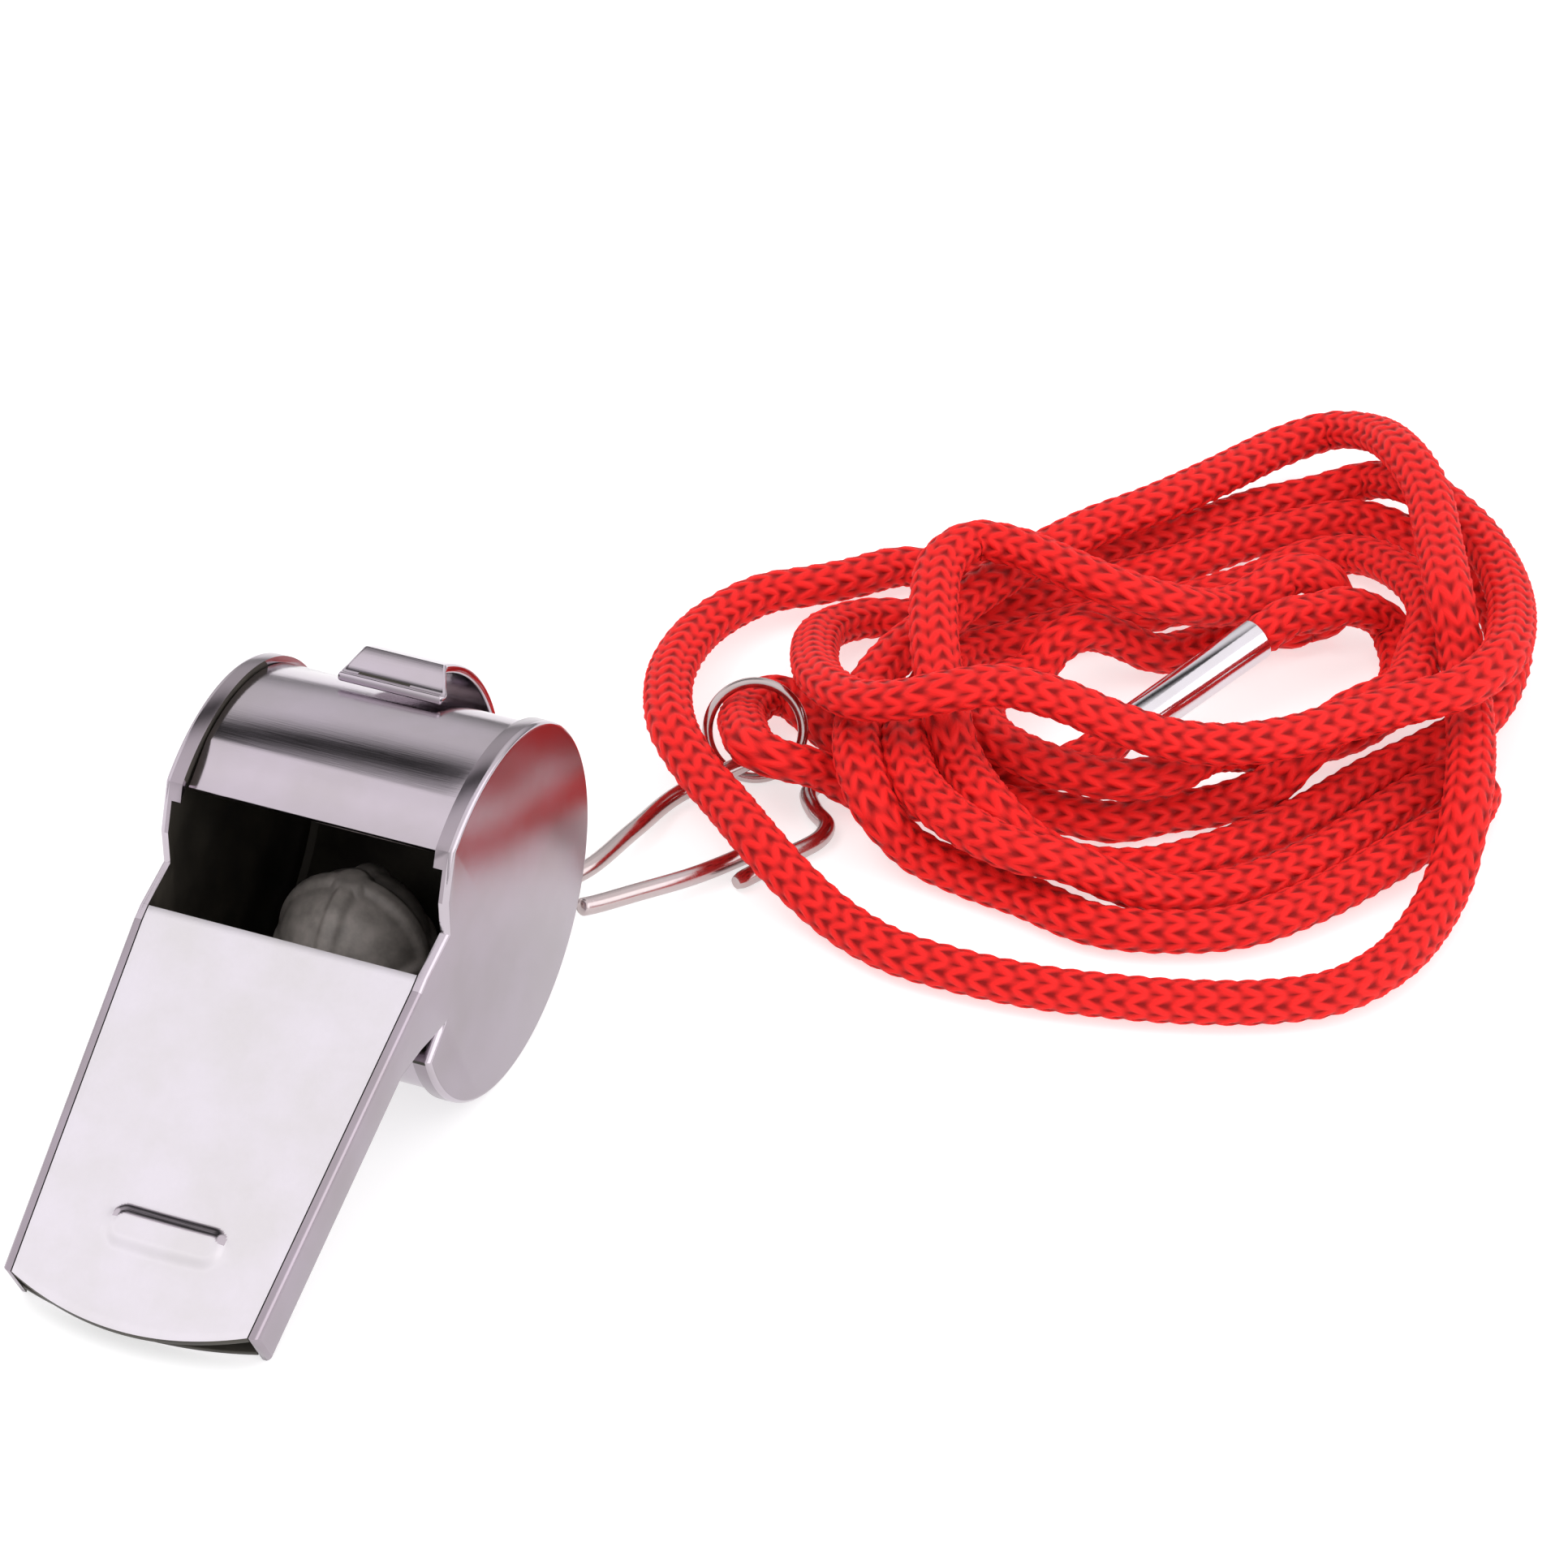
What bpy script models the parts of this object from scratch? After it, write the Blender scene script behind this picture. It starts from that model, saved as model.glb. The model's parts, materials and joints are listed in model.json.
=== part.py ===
"""Metal pea whistle on a wire clip, a small ring and a knitted neck cord that lies in a loose pile.

The origin is on the table, under the middle of the whistle, clip and ring. +Z is up and the
whistle blows from -Y. Sizes are in millimetres and are turned into metres by MM.
"""
import math

import bmesh
import bpy
import numpy as np
from mathutils import Matrix, Vector

MM = 0.001

# Running clearance between pieces that touch, and how far a cutter runs past what it cuts
GAP = 0.3
CUT_PAST = 2.0

# Whistle body, in its own frame: X along the drum's axis, -Y to the mouth, +Z off the top plate
SHEET = 0.6
CHEEK_RADIUS = 12.0
BODY_WIDTH = 19.2
RIM_DEPTH = 1.2
RIM_PROUD = 0.4
RIM_ROUND = 0.35
DRUM_AT = (-4.6, -2.5)

# Window between the drum's lip and the top plate
LIP_ANGLE = 98.0
LIP_DROP = 0.3
PLATE_TOP = 8.3
PLATE_REAR = 8.5
NOTCH_DEPTH = 4.0
NOTCH_WIDTH = 3.5
NOTCH_FLOOR_SHARE = 0.7
NOTCH_DROP_SHARE = 0.54
NOTCH_STEP = 0.6
LIP_CORNER_ANGLE = 0.6

# Mouthpiece
MOUTH_LENGTH = 32.9
MOUTH_BOW = 1.7
MOUTH_TAPER = 1.2
TAIL_BOTTOM = 5.0
FLOOR_BOTTOM = 5.6
FLOOR_SHEET = 0.5
FLOOR_BOW = 1.0
WIND_SLOT = 0.8
TAPER_LEAD = 1.0

# Ramp at the floor's end, which closes the front of the drum
RAMP_SETBACK = 0.05
RAMP_FOOT_SETBACK = 0.2
RAMP_CREST = 0.5
RAMP_FOOT_RUN = 0.4

# Slit between the disc and the tail
SLIT_DEPTH = 2.2
SLIT_MOUTH_ANGLE = 11.8
SLIT_END_DROP = 2.1
SLIT_LIP_DROP = 0.7
SLIT_LIP_RUN = 2.2
SLIT_CORNER_RISE = 0.25
SLIT_CORNER_RUN = 4.4

# Raised bar pressed in the top plate
BAR_LENGTH = 8.0
BAR_WIDTH = 2.5
BAR_HEIGHT = 0.45
BAR_FROM_TIP = 4.9
BAR_SIDE = 0.5

# Strap at the back of the drum
STRAP_WIDTH = 5.5
STRAP_FOOT_WIDTH = 8.0
STRAP_SHEET = 0.6
STRAP_TOP_FOOT_ANGLE = 42.0
STRAP_LOW_FOOT_ANGLE = -54.0
STRAP_RAMP_ANGLE = 10.0
STRAP_FOOT_ARC_ANGLE = 12.0

# Pea
PEA_DIAMETER = 10.5
PEA_RIB_PROUD = 0.3
PEA_NUB_PROUD = 0.5
PEA_SIDE = -1.0

# Wire clip: the clip hangs in the strap at this angle round the drum, measured from its back
WIRE = 1.2
EYE_ANGLE = -22.0
EYE_WIDTH = 12.0
EYE_HEIGHT = 12.0
EYE_FLAT = 6.0
EYE_LEAN = 10.6

# Ring
RING_DIAMETER = 7.0
RING_WIRE = 0.7
RING_AT = (6.1, 33.55, 3.0)
RING_FACING = (0.299, -0.752, 0.588)

# Cord and ferrule
CORD = 2.6
CORD_BEVEL_STEPS = 1
FERRULE_DIAMETER = 2.9
FERRULE_LIP = 0.25
FERRULE_TOP_END = (33.7, 54.2, 4.9)
FERRULE_LOW_END = (28.2, 43.8, 2.4)

# The cord's middle line, chosen by hand from one end of the ferrule to the other
OUT_OF_FERRULE = [
    (36.5, 58.8, 4.9), (37.8, 60.9, 4.5), (39.7, 63.1, 2.6), (40.9, 62.7, 1.6), (42.6, 59.2, 1.5),
    (42.9, 54.5, 1.6), (41.6, 51.0, 1.5), (39.2, 48.0, 1.6), (37.1, 44.7, 2.7), (35.1, 41.0, 4.4),
    (33.6, 37.0, 4.9), (31.1, 35.2, 4.9), (27.4, 35.1, 4.7), (24.0, 35.7, 4.7), (21.3, 37.1, 4.6)]
SMALL_MIDDLE_LOOP = [
    (19.4, 40.2, 4.2), (19.2, 44.2, 3.6), (20.5, 46.9, 3.2), (21.0, 48.8, 4.0), (22.4, 50.7, 4.6),
    (24.3, 52.7, 3.4), (26.8, 54.0, 2.0), (29.0, 56.8, 1.5), (31.4, 60.0, 1.5), (33.9, 61.2, 1.5),
    (34.4, 62.1, 1.5), (35.7, 62.8, 1.8), (36.1, 63.6, 3.0), (35.4, 63.7, 4.2), (34.1, 63.3, 4.7),
    (32.8, 62.3, 4.7)]
LEFT_ARCH = [
    (31.9, 60.1, 4.6), (30.4, 57.5, 4.6), (28.1, 53.9, 6.4), (24.0, 52.2, 7.8), (20.3, 52.9, 8.0),
    (16.4, 53.8, 8.0), (13.7, 53.4, 8.0), (12.7, 50.2, 8.0), (13.9, 45.5, 8.0), (15.6, 41.3, 7.8),
    (17.3, 38.0, 7.1), (19.4, 34.3, 6.7), (21.1, 32.6, 5.0), (24.9, 29.1, 4.6), (27.6, 28.8, 3.0),
    (30.4, 29.7, 1.6), (34.4, 31.1, 1.5)]
UNDER_RIGHT_SIDE = [
    (38.0, 34.6, 1.5), (41.7, 40.2, 1.5), (44.6, 46.7, 1.5), (47.0, 51.0, 1.5), (48.8, 55.1, 1.5),
    (49.0, 60.7, 1.5), (47.6, 66.5, 1.5), (44.8, 70.5, 1.5), (41.2, 73.3, 1.5), (37.2, 75.5, 1.5),
    (33.5, 75.9, 1.5), (30.6, 73.6, 1.5), (27.3, 70.1, 1.5), (24.1, 65.6, 1.5), (20.7, 61.7, 1.5),
    (17.3, 58.3, 1.5), (13.8, 54.9, 1.5), (10.2, 52.2, 1.5)]
TOP_ARM = [
    (7.2, 50.8, 1.6), (5.7, 47.1, 2.6), (7.1, 41.3, 4.6), (10.5, 34.8, 7.2), (14.2, 31.8, 8.7),
    (17.2, 31.4, 9.8), (20.0, 32.0, 10.8), (22.9, 34.0, 10.8), (26.5, 34.7, 10.4), (30.3, 35.1, 9.4),
    (33.9, 36.0, 8.4), (37.4, 37.1, 8.2), (41.0, 39.6, 8.2), (43.7, 42.8, 8.2), (46.5, 46.0, 8.2),
    (49.4, 49.0, 8.4), (50.7, 53.5, 8.2), (49.4, 60.5, 6.8), (46.2, 68.1, 5.4), (42.2, 73.5, 4.8)]
FAR_SIDE = [
    (37.8, 77.0, 4.4), (33.4, 79.8, 2.4), (30.1, 77.7, 1.6), (26.9, 74.7, 1.5), (24.2, 71.0, 1.5),
    (20.8, 67.1, 1.5), (17.7, 63.6, 1.5), (14.1, 60.3, 1.5), (10.5, 58.7, 1.5), (6.8, 57.6, 1.6),
    (4.5, 54.4, 2.0), (2.4, 52.1, 2.2), (0.0, 50.1, 2.2), (-1.5, 47.4, 2.2)]
OUTER_LOOP = [
    (-2.3, 43.7, 2.4), (-1.9, 38.9, 3.0), (-0.3, 33.8, 4.0), (2.1, 29.3, 4.6), (5.0, 26.4, 4.2),
    (8.1, 24.1, 3.8), (11.5, 21.3, 3.6), (14.9, 19.4, 2.6), (18.6, 17.9, 1.6), (22.8, 16.4, 1.5),
    (27.3, 16.1, 1.5), (32.1, 16.4, 1.5), (36.7, 17.3, 1.5), (41.6, 18.7, 1.5), (46.3, 20.7, 1.5),
    (49.9, 23.4, 1.5), (52.1, 27.5, 1.5), (52.9, 32.5, 1.5), (53.0, 37.3, 2.4), (52.6, 40.9, 4.4),
    (51.0, 47.1, 4.8)]
TOP_LOOP = [
    (48.8, 53.2, 4.8), (47.1, 56.8, 6.0), (45.5, 59.2, 8.0), (42.7, 65.2, 8.2), (39.8, 71.5, 8.0),
    (36.5, 76.4, 7.4), (32.7, 81.1, 5.4), (29.4, 82.4, 4.0), (26.7, 79.7, 3.6), (24.2, 73.3, 4.2),
    (21.6, 67.1, 4.8), (18.6, 62.5, 4.8), (16.3, 57.5, 4.8), (14.5, 52.3, 4.8), (13.2, 47.3, 4.8)]
NEAR_SIDE = [
    (12.2, 42.8, 4.8), (12.2, 38.4, 4.8), (13.3, 33.8, 5.1), (15.3, 29.3, 5.2), (17.8, 26.5, 4.1),
    (20.1, 26.3, 2.2), (24.1, 25.8, 1.5), (28.2, 25.2, 1.5), (33.5, 24.1, 1.5), (38.1, 25.2, 1.5),
    (42.2, 27.6, 1.5), (45.6, 32.1, 1.5), (48.2, 37.3, 1.5), (50.0, 41.3, 1.5), (51.5, 44.5, 1.5)]
BACK_ALONG_NEAR_SIDE = [
    (51.2, 48.0, 1.5), (49.5, 48.4, 1.5), (48.0, 46.0, 1.5), (46.5, 42.4, 1.5), (44.1, 36.3, 1.5),
    (40.4, 31.3, 1.5), (36.2, 28.3, 1.9), (33.6, 26.9, 3.1), (30.8, 25.7, 4.6), (27.8, 24.9, 5.1),
    (23.0, 26.4, 5.2), (19.1, 29.4, 5.2), (16.8, 33.3, 5.4)]
INNER_LOOP = [
    (15.1, 39.8, 3.6), (14.5, 46.5, 2.0), (15.1, 50.1, 1.6), (17.7, 52.5, 1.5), (20.5, 56.0, 1.5),
    (23.7, 58.5, 1.5), (27.1, 62.3, 1.5), (29.9, 65.7, 1.5), (32.2, 69.7, 1.5), (35.2, 71.2, 1.8),
    (39.6, 67.9, 3.4), (43.4, 62.0, 4.8), (44.1, 57.5, 4.4), (44.6, 52.0, 5.2), (42.2, 48.6, 4.8),
    (40.9, 43.8, 4.6), (39.3, 42.1, 2.5), (36.5, 39.8, 1.5), (33.5, 37.3, 1.6), (30.7, 35.1, 1.5),
    (27.0, 34.7, 1.5), (23.8, 34.1, 1.5), (20.6, 33.3, 1.5), (17.6, 32.2, 1.5), (14.1, 31.9, 1.5)]
THROUGH_RING = [
    (11.7, 30.5, 3.4), (9.7, 28.6, 4.9), (8.1, 28.6, 5.3), (6.4, 31.0, 4.7), (4.9, 34.2, 3.3),
    (4.4, 36.4, 2.5), (4.5, 38.9, 1.9), (5.9, 40.0, 1.5), (8.6, 38.4, 1.5), (12.0, 36.4, 1.5),
    (16.0, 36.1, 1.5), (20.5, 36.5, 1.5), (24.4, 38.2, 1.5)]
CORD_ROUTE = (
    OUT_OF_FERRULE + SMALL_MIDDLE_LOOP + LEFT_ARCH + UNDER_RIGHT_SIDE + TOP_ARM + FAR_SIDE
    + OUTER_LOOP + TOP_LOOP + NEAR_SIDE + BACK_ALONG_NEAR_SIDE + INNER_LOOP + THROUGH_RING)

# The clip's wire past its round eye, from the waist round the nose to the hook's tip
CLIP_ROUTE = [
    (-2.4, 12.0, 2.4), (0.2, 13.4, 2.2), (1.7, 15.6, 2.2), (2.4, 22.0, 1.4), (3.1, 27.6, 0.8),
    (5.2, 30.1, 1.5), (6.5, 31.6, 1.9), (7.3, 33.1, 1.9), (8.2, 34.7, 1.2), (9.8, 34.7, 0.8),
    (10.9, 33.2, 0.7), (10.9, 31.2, 0.7), (12.0, 29.6, 0.7), (13.3, 28.4, 0.7), (13.5, 26.9, 0.7),
    (12.2, 24.0, 0.7), (10.4, 20.2, 0.7)]
WAIST_ROUTE = [(1.6, 10.9, 4.5), (2.5, 10.4, 3.6), (3.2, 10.6, 3.0)]
LEG_ROUTE = [(3.5, 11.2, 2.8), (4.1, 12.3, 2.5), (5.6, 15.0, 2.0), (8.0, 19.4, 1.2), (10.2, 24.0, 0.7)]

# Worked out from the sizes above
BAND_RADIUS = CHEEK_RADIUS - RIM_PROUD
BAND_INNER = BAND_RADIUS - SHEET
BAND_HALF = BODY_WIDTH / 2 - RIM_DEPTH - GAP
CHEEK_INNER = BODY_WIDTH / 2 - SHEET
FLOOR_TOP = FLOOR_BOTTOM + FLOOR_SHEET
STRAP_INNER = BAND_RADIUS + WIRE + 2 * GAP
EYE_RADIUS = (BAND_RADIUS + STRAP_INNER) / 2
PEA_ORBIT = BAND_INNER - GAP - PEA_DIAMETER / 2
TAPER_FROM = PLATE_REAR + TAPER_LEAD
MOUTH_REACH = math.hypot(MOUTH_LENGTH, TAIL_BOTTOM)
TILT = math.asin(CHEEK_RADIUS / MOUTH_REACH) + math.atan2(TAIL_BOTTOM, MOUTH_LENGTH)

STEEL = ((0.62, 0.60, 0.62, 1.0), 1.0, 0.22)
PLATE_STEEL = ((0.78, 0.76, 0.78, 1.0), 1.0, 0.3)
WIRE_STEEL = ((0.50, 0.44, 0.43, 1.0), 1.0, 0.25)
PEA_GREY = ((0.09, 0.085, 0.08, 1.0), 0.0, 0.5)
CORD_RED = ((0.72, 0.012, 0.012, 1.0), 0.0, 0.75)


def clear_scene():
    for item in list(bpy.data.objects):
        bpy.data.objects.remove(item, do_unlink=True)


def finish_material(name, look):
    colour, metallic, roughness = look
    made = bpy.data.materials.new(name)
    made.use_nodes = True
    shader = made.node_tree.nodes["Principled BSDF"]
    shader.inputs["Base Color"].default_value = colour
    shader.inputs["Metallic"].default_value = metallic
    shader.inputs["Roughness"].default_value = roughness
    return made


def polar(radius, degrees):
    """Point (y, z) in the drum's own frame, at an angle from straight back towards the top."""
    turn = math.radians(degrees)
    return radius * math.cos(turn), radius * math.sin(turn)


def arc(radius, start, end, step=4.0):
    count = max(2, round(abs(end - start) / step) + 1)
    return [polar(radius, start + (end - start) * i / (count - 1)) for i in range(count)]


def link(name, data, look, parent=None, at=(0, 0, 0), smooth_angle=35.0):
    made = bpy.data.objects.new(name, data)
    bpy.context.collection.objects.link(made)
    data.materials.append(finish_material(name, look))
    made.location = Vector(at) * MM
    made.parent = parent
    if smooth_angle and isinstance(data, bpy.types.Mesh):
        data.shade_smooth()
        data.set_sharp_from_angle(angle=math.radians(smooth_angle))
    return made


def mesh_from(name, work):
    bmesh.ops.recalc_face_normals(work, faces=work.faces)
    data = bpy.data.meshes.new(name)
    work.to_mesh(data)
    work.free()
    return data


def loft(name, rings):
    """Closed mesh through rings of equal length, given in millimetres, with flat ends."""
    work = bmesh.new()
    rows = [[work.verts.new(Vector(point) * MM) for point in ring] for ring in rings]
    for first, second in zip(rows, rows[1:]):
        for i in range(len(first)):
            j = (i + 1) % len(first)
            work.faces.new((first[i], first[j], second[j], second[i]))
    work.faces.new(rows[0])
    work.faces.new(rows[-1])
    return mesh_from(name, work)


def cutter(name, data, parent, at):
    made = bpy.data.objects.new(name, data)
    bpy.context.collection.objects.link(made)
    made.parent = parent
    made.location = Vector(at) * MM
    made.display_type = "WIRE"
    made.hide_render = True
    return made


def boolean(target, tool, operation):
    step = target.modifiers.new(tool.name, "BOOLEAN")
    step.operation = operation
    step.solver = "EXACT"
    step.object = tool


def empty(name, at, parent=None):
    made = bpy.data.objects.new(name, None)
    bpy.context.collection.objects.link(made)
    made.location = Vector(at) * MM
    made.parent = parent
    return made


def taper(y):
    """How far the sides are drawn in at y, from the slit's end to the mouth."""
    return max(0.0, (-TAPER_FROM - y) / (MOUTH_LENGTH - TAPER_FROM)) * MOUTH_TAPER


def cheek_outline():
    """Side plate's outline (y, z): disc, slit under the tail, tail, and notch beside the window."""
    notch_start = polar(CHEEK_RADIUS, LIP_ANGLE + LIP_CORNER_ANGLE)
    tail_meets_disc = 180 - math.degrees(math.asin(TAIL_BOTTOM / CHEEK_RADIUS))
    slit_mouth = polar(CHEEK_RADIUS, tail_meets_disc + SLIT_MOUTH_ANGLE)
    disc_end = math.degrees(math.atan2(slit_mouth[1], slit_mouth[0])) - 360
    disc = arc(CHEEK_RADIUS, LIP_ANGLE + LIP_CORNER_ANGLE, disc_end)
    slit_end = (slit_mouth[0] + SLIT_DEPTH, TAIL_BOTTOM - SLIT_END_DROP)
    slit = [
        slit_end,
        (slit_end[0] - SLIT_LIP_RUN, TAIL_BOTTOM - SLIT_LIP_DROP),
        (slit_end[0] - SLIT_CORNER_RUN, TAIL_BOTTOM + SLIT_CORNER_RISE)]
    tail = [(-MOUTH_LENGTH, TAIL_BOTTOM), (-MOUTH_LENGTH, PLATE_TOP), (-PLATE_REAR, PLATE_TOP)]
    notch = [
        (notch_start[0] - NOTCH_WIDTH, PLATE_TOP - NOTCH_STEP),
        (notch_start[0] - NOTCH_WIDTH * NOTCH_FLOOR_SHARE, notch_start[1] - NOTCH_DEPTH * NOTCH_DROP_SHARE)]
    return disc + slit + tail + notch


def make_cheek(name, side, frame, at):
    outline = cheek_outline()
    outer = BODY_WIDTH / 2
    inner = outer - RIM_DEPTH
    work = bmesh.new()
    face = work.faces.new([work.verts.new(Vector((inner, y, z)) * MM) for y, z in outline])
    pushed = bmesh.ops.extrude_face_region(work, geom=[face])["geom"]
    moved = [item for item in pushed if isinstance(item, bmesh.types.BMVert)]
    bmesh.ops.translate(work, verts=moved, vec=Vector((RIM_DEPTH, 0, 0)) * MM)
    rim = [edge for edge in work.edges if all(vert in moved for vert in edge.verts)]
    bmesh.ops.bevel(work, geom=rim, offset=RIM_ROUND * MM, segments=3, profile=0.5, affect="EDGES")
    bmesh.ops.bisect_plane(
        work, geom=work.verts[:] + work.edges[:] + work.faces[:],
        plane_co=Vector((0, -TAPER_FROM, 0)) * MM, plane_no=Vector((0, 1, 0)))
    for vert in work.verts:
        y, z = vert.co.y / MM, vert.co.z / MM
        if y < -TAPER_FROM and z > TAIL_BOTTOM - SLIT_END_DROP:
            vert.co.x -= taper(y) * MM
    if side < 0:
        bmesh.ops.scale(work, verts=work.verts, vec=Vector((-1, 1, 1)))
    made = link(name, mesh_from(name, work), STEEL, frame, at)
    disc = [(inner - CUT_PAST, y, z) for y, z in arc(CHEEK_RADIUS - SHEET, 0, 360)[:-1]]
    wall = [(CHEEK_INNER, y, z) for _, y, z in disc]
    if side < 0:
        disc = [(-x, y, z) for x, y, z in disc]
        wall = [(-x, y, z) for x, y, z in wall]
    boolean(made, cutter(name + "_pan", loft(name + "_pan", [disc, wall]), frame, at), "DIFFERENCE")
    boolean(made, tail_cutter(name + "_tail_pan", side, frame, at), "DIFFERENCE")
    return made


def tail_cutter(name, side, frame, at):
    """Clears the space between the two tails, whose inner faces are drawn in with the taper."""
    inner, past = CHEEK_INNER, CHEEK_INNER - 2 * CUT_PAST
    low, high = TAIL_BOTTOM - SLIT_END_DROP, CHEEK_RADIUS + CUT_PAST
    front, rear = -MOUTH_LENGTH - CUT_PAST, -PLATE_REAR + GAP
    plan = [(past, front), (inner - taper(front), front), (inner, -TAPER_FROM), (inner, rear), (past, rear)]
    rings = [[(side * x, y, z) for x, y in plan] for z in (low, high)]
    return cutter(name, loft(name, rings), frame, at)


def plate_half_width(y):
    return CHEEK_INNER - GAP - taper(y)


def make_plate_data(name, profile, bow, columns=17):
    """Sheet that spans the tails: a side profile (y, z) swept across, its mouth edge bowed out."""
    rings = []
    for k in range(columns):
        across = 2 * k / (columns - 1) - 1
        ring = []
        for y, z in profile:
            out = bow * (1 - across * across) if y <= -MOUTH_LENGTH + 0.01 else 0.0
            ring.append((across * plate_half_width(y), y - out, z))
        rings.append(ring)
    return loft(name, rings)


def make_mouthpiece(frame, at):
    rear, tip = -PLATE_REAR, -MOUTH_LENGTH
    under = PLATE_TOP - SHEET
    fold = -TAPER_FROM
    profile = [(y, PLATE_TOP) for y in (rear, fold, tip)] + [(y, under) for y in (tip, fold, rear)]
    plate = make_plate_data("mouthpiece_top", profile, MOUTH_BOW)
    top = link("mouthpiece_top", plate, PLATE_STEEL, frame, at)
    bar = cutter("raised_bar", raised_bar_data("raised_bar"), frame, at)
    boolean(top, bar, "UNION")
    inner_wall = BAND_INNER + RAMP_SETBACK
    ramp_top = under - WIND_SLOT
    ramp_end = -math.sqrt(inner_wall ** 2 - ramp_top ** 2)
    ramp_foot = -math.sqrt((inner_wall + RAMP_FOOT_SETBACK) ** 2 - FLOOR_BOTTOM ** 2)
    run = FLOOR_SHEET + RAMP_FOOT_RUN
    floor = [(ramp_foot, FLOOR_BOTTOM), (ramp_end, ramp_top), (ramp_end - RAMP_CREST, ramp_top),
             (ramp_foot - run, FLOOR_TOP), (tip, FLOOR_TOP), (tip, FLOOR_BOTTOM)]
    link("mouthpiece_floor", make_plate_data("mouthpiece_floor", floor, FLOOR_BOW), STEEL, frame, at)


def raised_bar_data(name):
    """Long bar with round ends, drawn in towards its top, and sunk into the plate for its join."""
    centre = (BAR_SIDE, -MOUTH_LENGTH + BAR_FROM_TIP)
    radius = BAR_WIDTH / 2
    straight = BAR_LENGTH / 2 - radius

    def ring(shrink, z):
        points = []
        for end in (1, -1):
            for k in range(9):
                turn = math.radians(-90 + 22.5 * k) if end > 0 else math.radians(90 + 22.5 * k)
                points.append((centre[0] + end * straight + (radius - shrink) * math.cos(turn),
                               centre[1] + (radius - shrink) * math.sin(turn), z))
        return points

    draw = BAR_HEIGHT * 1.2
    return loft(name, [ring(0, PLATE_TOP - SHEET / 2), ring(0, PLATE_TOP + 0.02),
                       ring(draw, PLATE_TOP + BAR_HEIGHT)])


def make_drum_band(frame, at):
    """Sheet rolled from the lip round the back to the mouthpiece floor, its lip set flat."""
    flat_from = LIP_ANGLE - 16
    floor_edge = 180 - math.degrees(math.asin((FLOOR_BOTTOM - GAP) / BAND_RADIUS)) - 360
    lip_y, lip_z = polar(BAND_RADIUS, LIP_ANGLE)
    outer = [(lip_y, lip_z - LIP_DROP)] + arc(BAND_RADIUS, flat_from, floor_edge)
    inner = arc(BAND_INNER, floor_edge, flat_from) + [(lip_y, lip_z - LIP_DROP - SHEET * 0.8)]
    rings = [[(x, y, z) for y, z in outer + inner] for x in (-BAND_HALF, BAND_HALF)]
    link("drum_band", loft("drum_band", rings), STEEL, frame, at)


def ease(value):
    value = min(1.0, max(0.0, value))
    return value * value * (3 - 2 * value)


def make_strap(frame, at):
    """Arch of sheet whose wide feet lie on the drum, a gap off it, and whose middle clears the wire."""
    foot = BAND_RADIUS + GAP
    rise = STRAP_INNER - foot
    rings = []
    count = 33
    for k in range(count):
        angle = STRAP_TOP_FOOT_ANGLE + (STRAP_LOW_FOOT_ANGLE - STRAP_TOP_FOOT_ANGLE) * k / (count - 1)
        from_end = min(STRAP_TOP_FOOT_ANGLE - angle, angle - STRAP_LOW_FOOT_ANGLE)
        from_foot = from_end - STRAP_FOOT_ARC_ANGLE
        lift = ease(from_foot / STRAP_RAMP_ANGLE)
        radius = foot + rise * lift
        half = (STRAP_FOOT_WIDTH + (STRAP_WIDTH - STRAP_FOOT_WIDTH) * lift) / 2
        y0, z0 = polar(radius, angle)
        y1, z1 = polar(radius + STRAP_SHEET, angle)
        rings.append([(-half, y0, z0), (half, y0, z0), (half, y1, z1), (-half, y1, z1)])
    link("strap", loft("strap", rings), STEEL, frame, at)


def make_pea(frame):
    """Ball with three raised ribs round it, and a nub at each end where two of them cross."""
    segments, rings = 40, 24
    nub = PEA_DIAMETER / 2
    rib = nub - PEA_NUB_PROUD + PEA_RIB_PROUD
    ball = nub - PEA_NUB_PROUD
    work = bmesh.new()
    bmesh.ops.create_uvsphere(work, u_segments=segments, v_segments=rings, radius=ball * MM)
    half_step = math.pi / segments
    for vert in work.verts:
        away = vert.co.normalized()
        round_axis = math.atan2(away.y, away.x) % (math.pi / 2)
        on_meridian = min(round_axis, math.pi / 2 - round_axis) < half_step
        on_belt = abs(away.z) < math.sin(half_step)
        if abs(away.z) > math.cos(half_step):
            vert.co = away * nub * MM
        elif on_meridian or on_belt:
            vert.co = away * rib * MM
    data = mesh_from("pea", work)
    link("pea", data, PEA_GREY, frame, (PEA_SIDE, 0, -PEA_ORBIT), smooth_angle=60.0)


def smooth_line(points, per_span):
    """Centripetal Catmull-Rom curve through the points."""
    points = np.asarray(points, dtype=float)
    padded = np.vstack([2 * points[0] - points[1], points, 2 * points[-1] - points[-2]])
    line = []
    for a, b, c, d in zip(padded, padded[1:], padded[2:], padded[3:]):
        t1 = np.linalg.norm(b - a) ** 0.5
        t2 = t1 + np.linalg.norm(c - b) ** 0.5
        t3 = t2 + np.linalg.norm(d - c) ** 0.5
        for k in range(per_span):
            t = t1 + (t2 - t1) * k / per_span
            ab = (t1 - t) / t1 * a + t / t1 * b
            bc = (t2 - t) / (t2 - t1) * b + (t - t1) / (t2 - t1) * c
            cd = (t3 - t) / (t3 - t2) * c + (t - t2) / (t3 - t2) * d
            abc = (t2 - t) / t2 * ab + t / t2 * bc
            bcd = (t3 - t) / (t3 - t1) * bc + (t - t1) / (t3 - t1) * cd
            line.append((t2 - t) / (t2 - t1) * abc + (t - t1) / (t2 - t1) * bcd)
    line.append(points[-1])
    return np.array(line)


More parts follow.
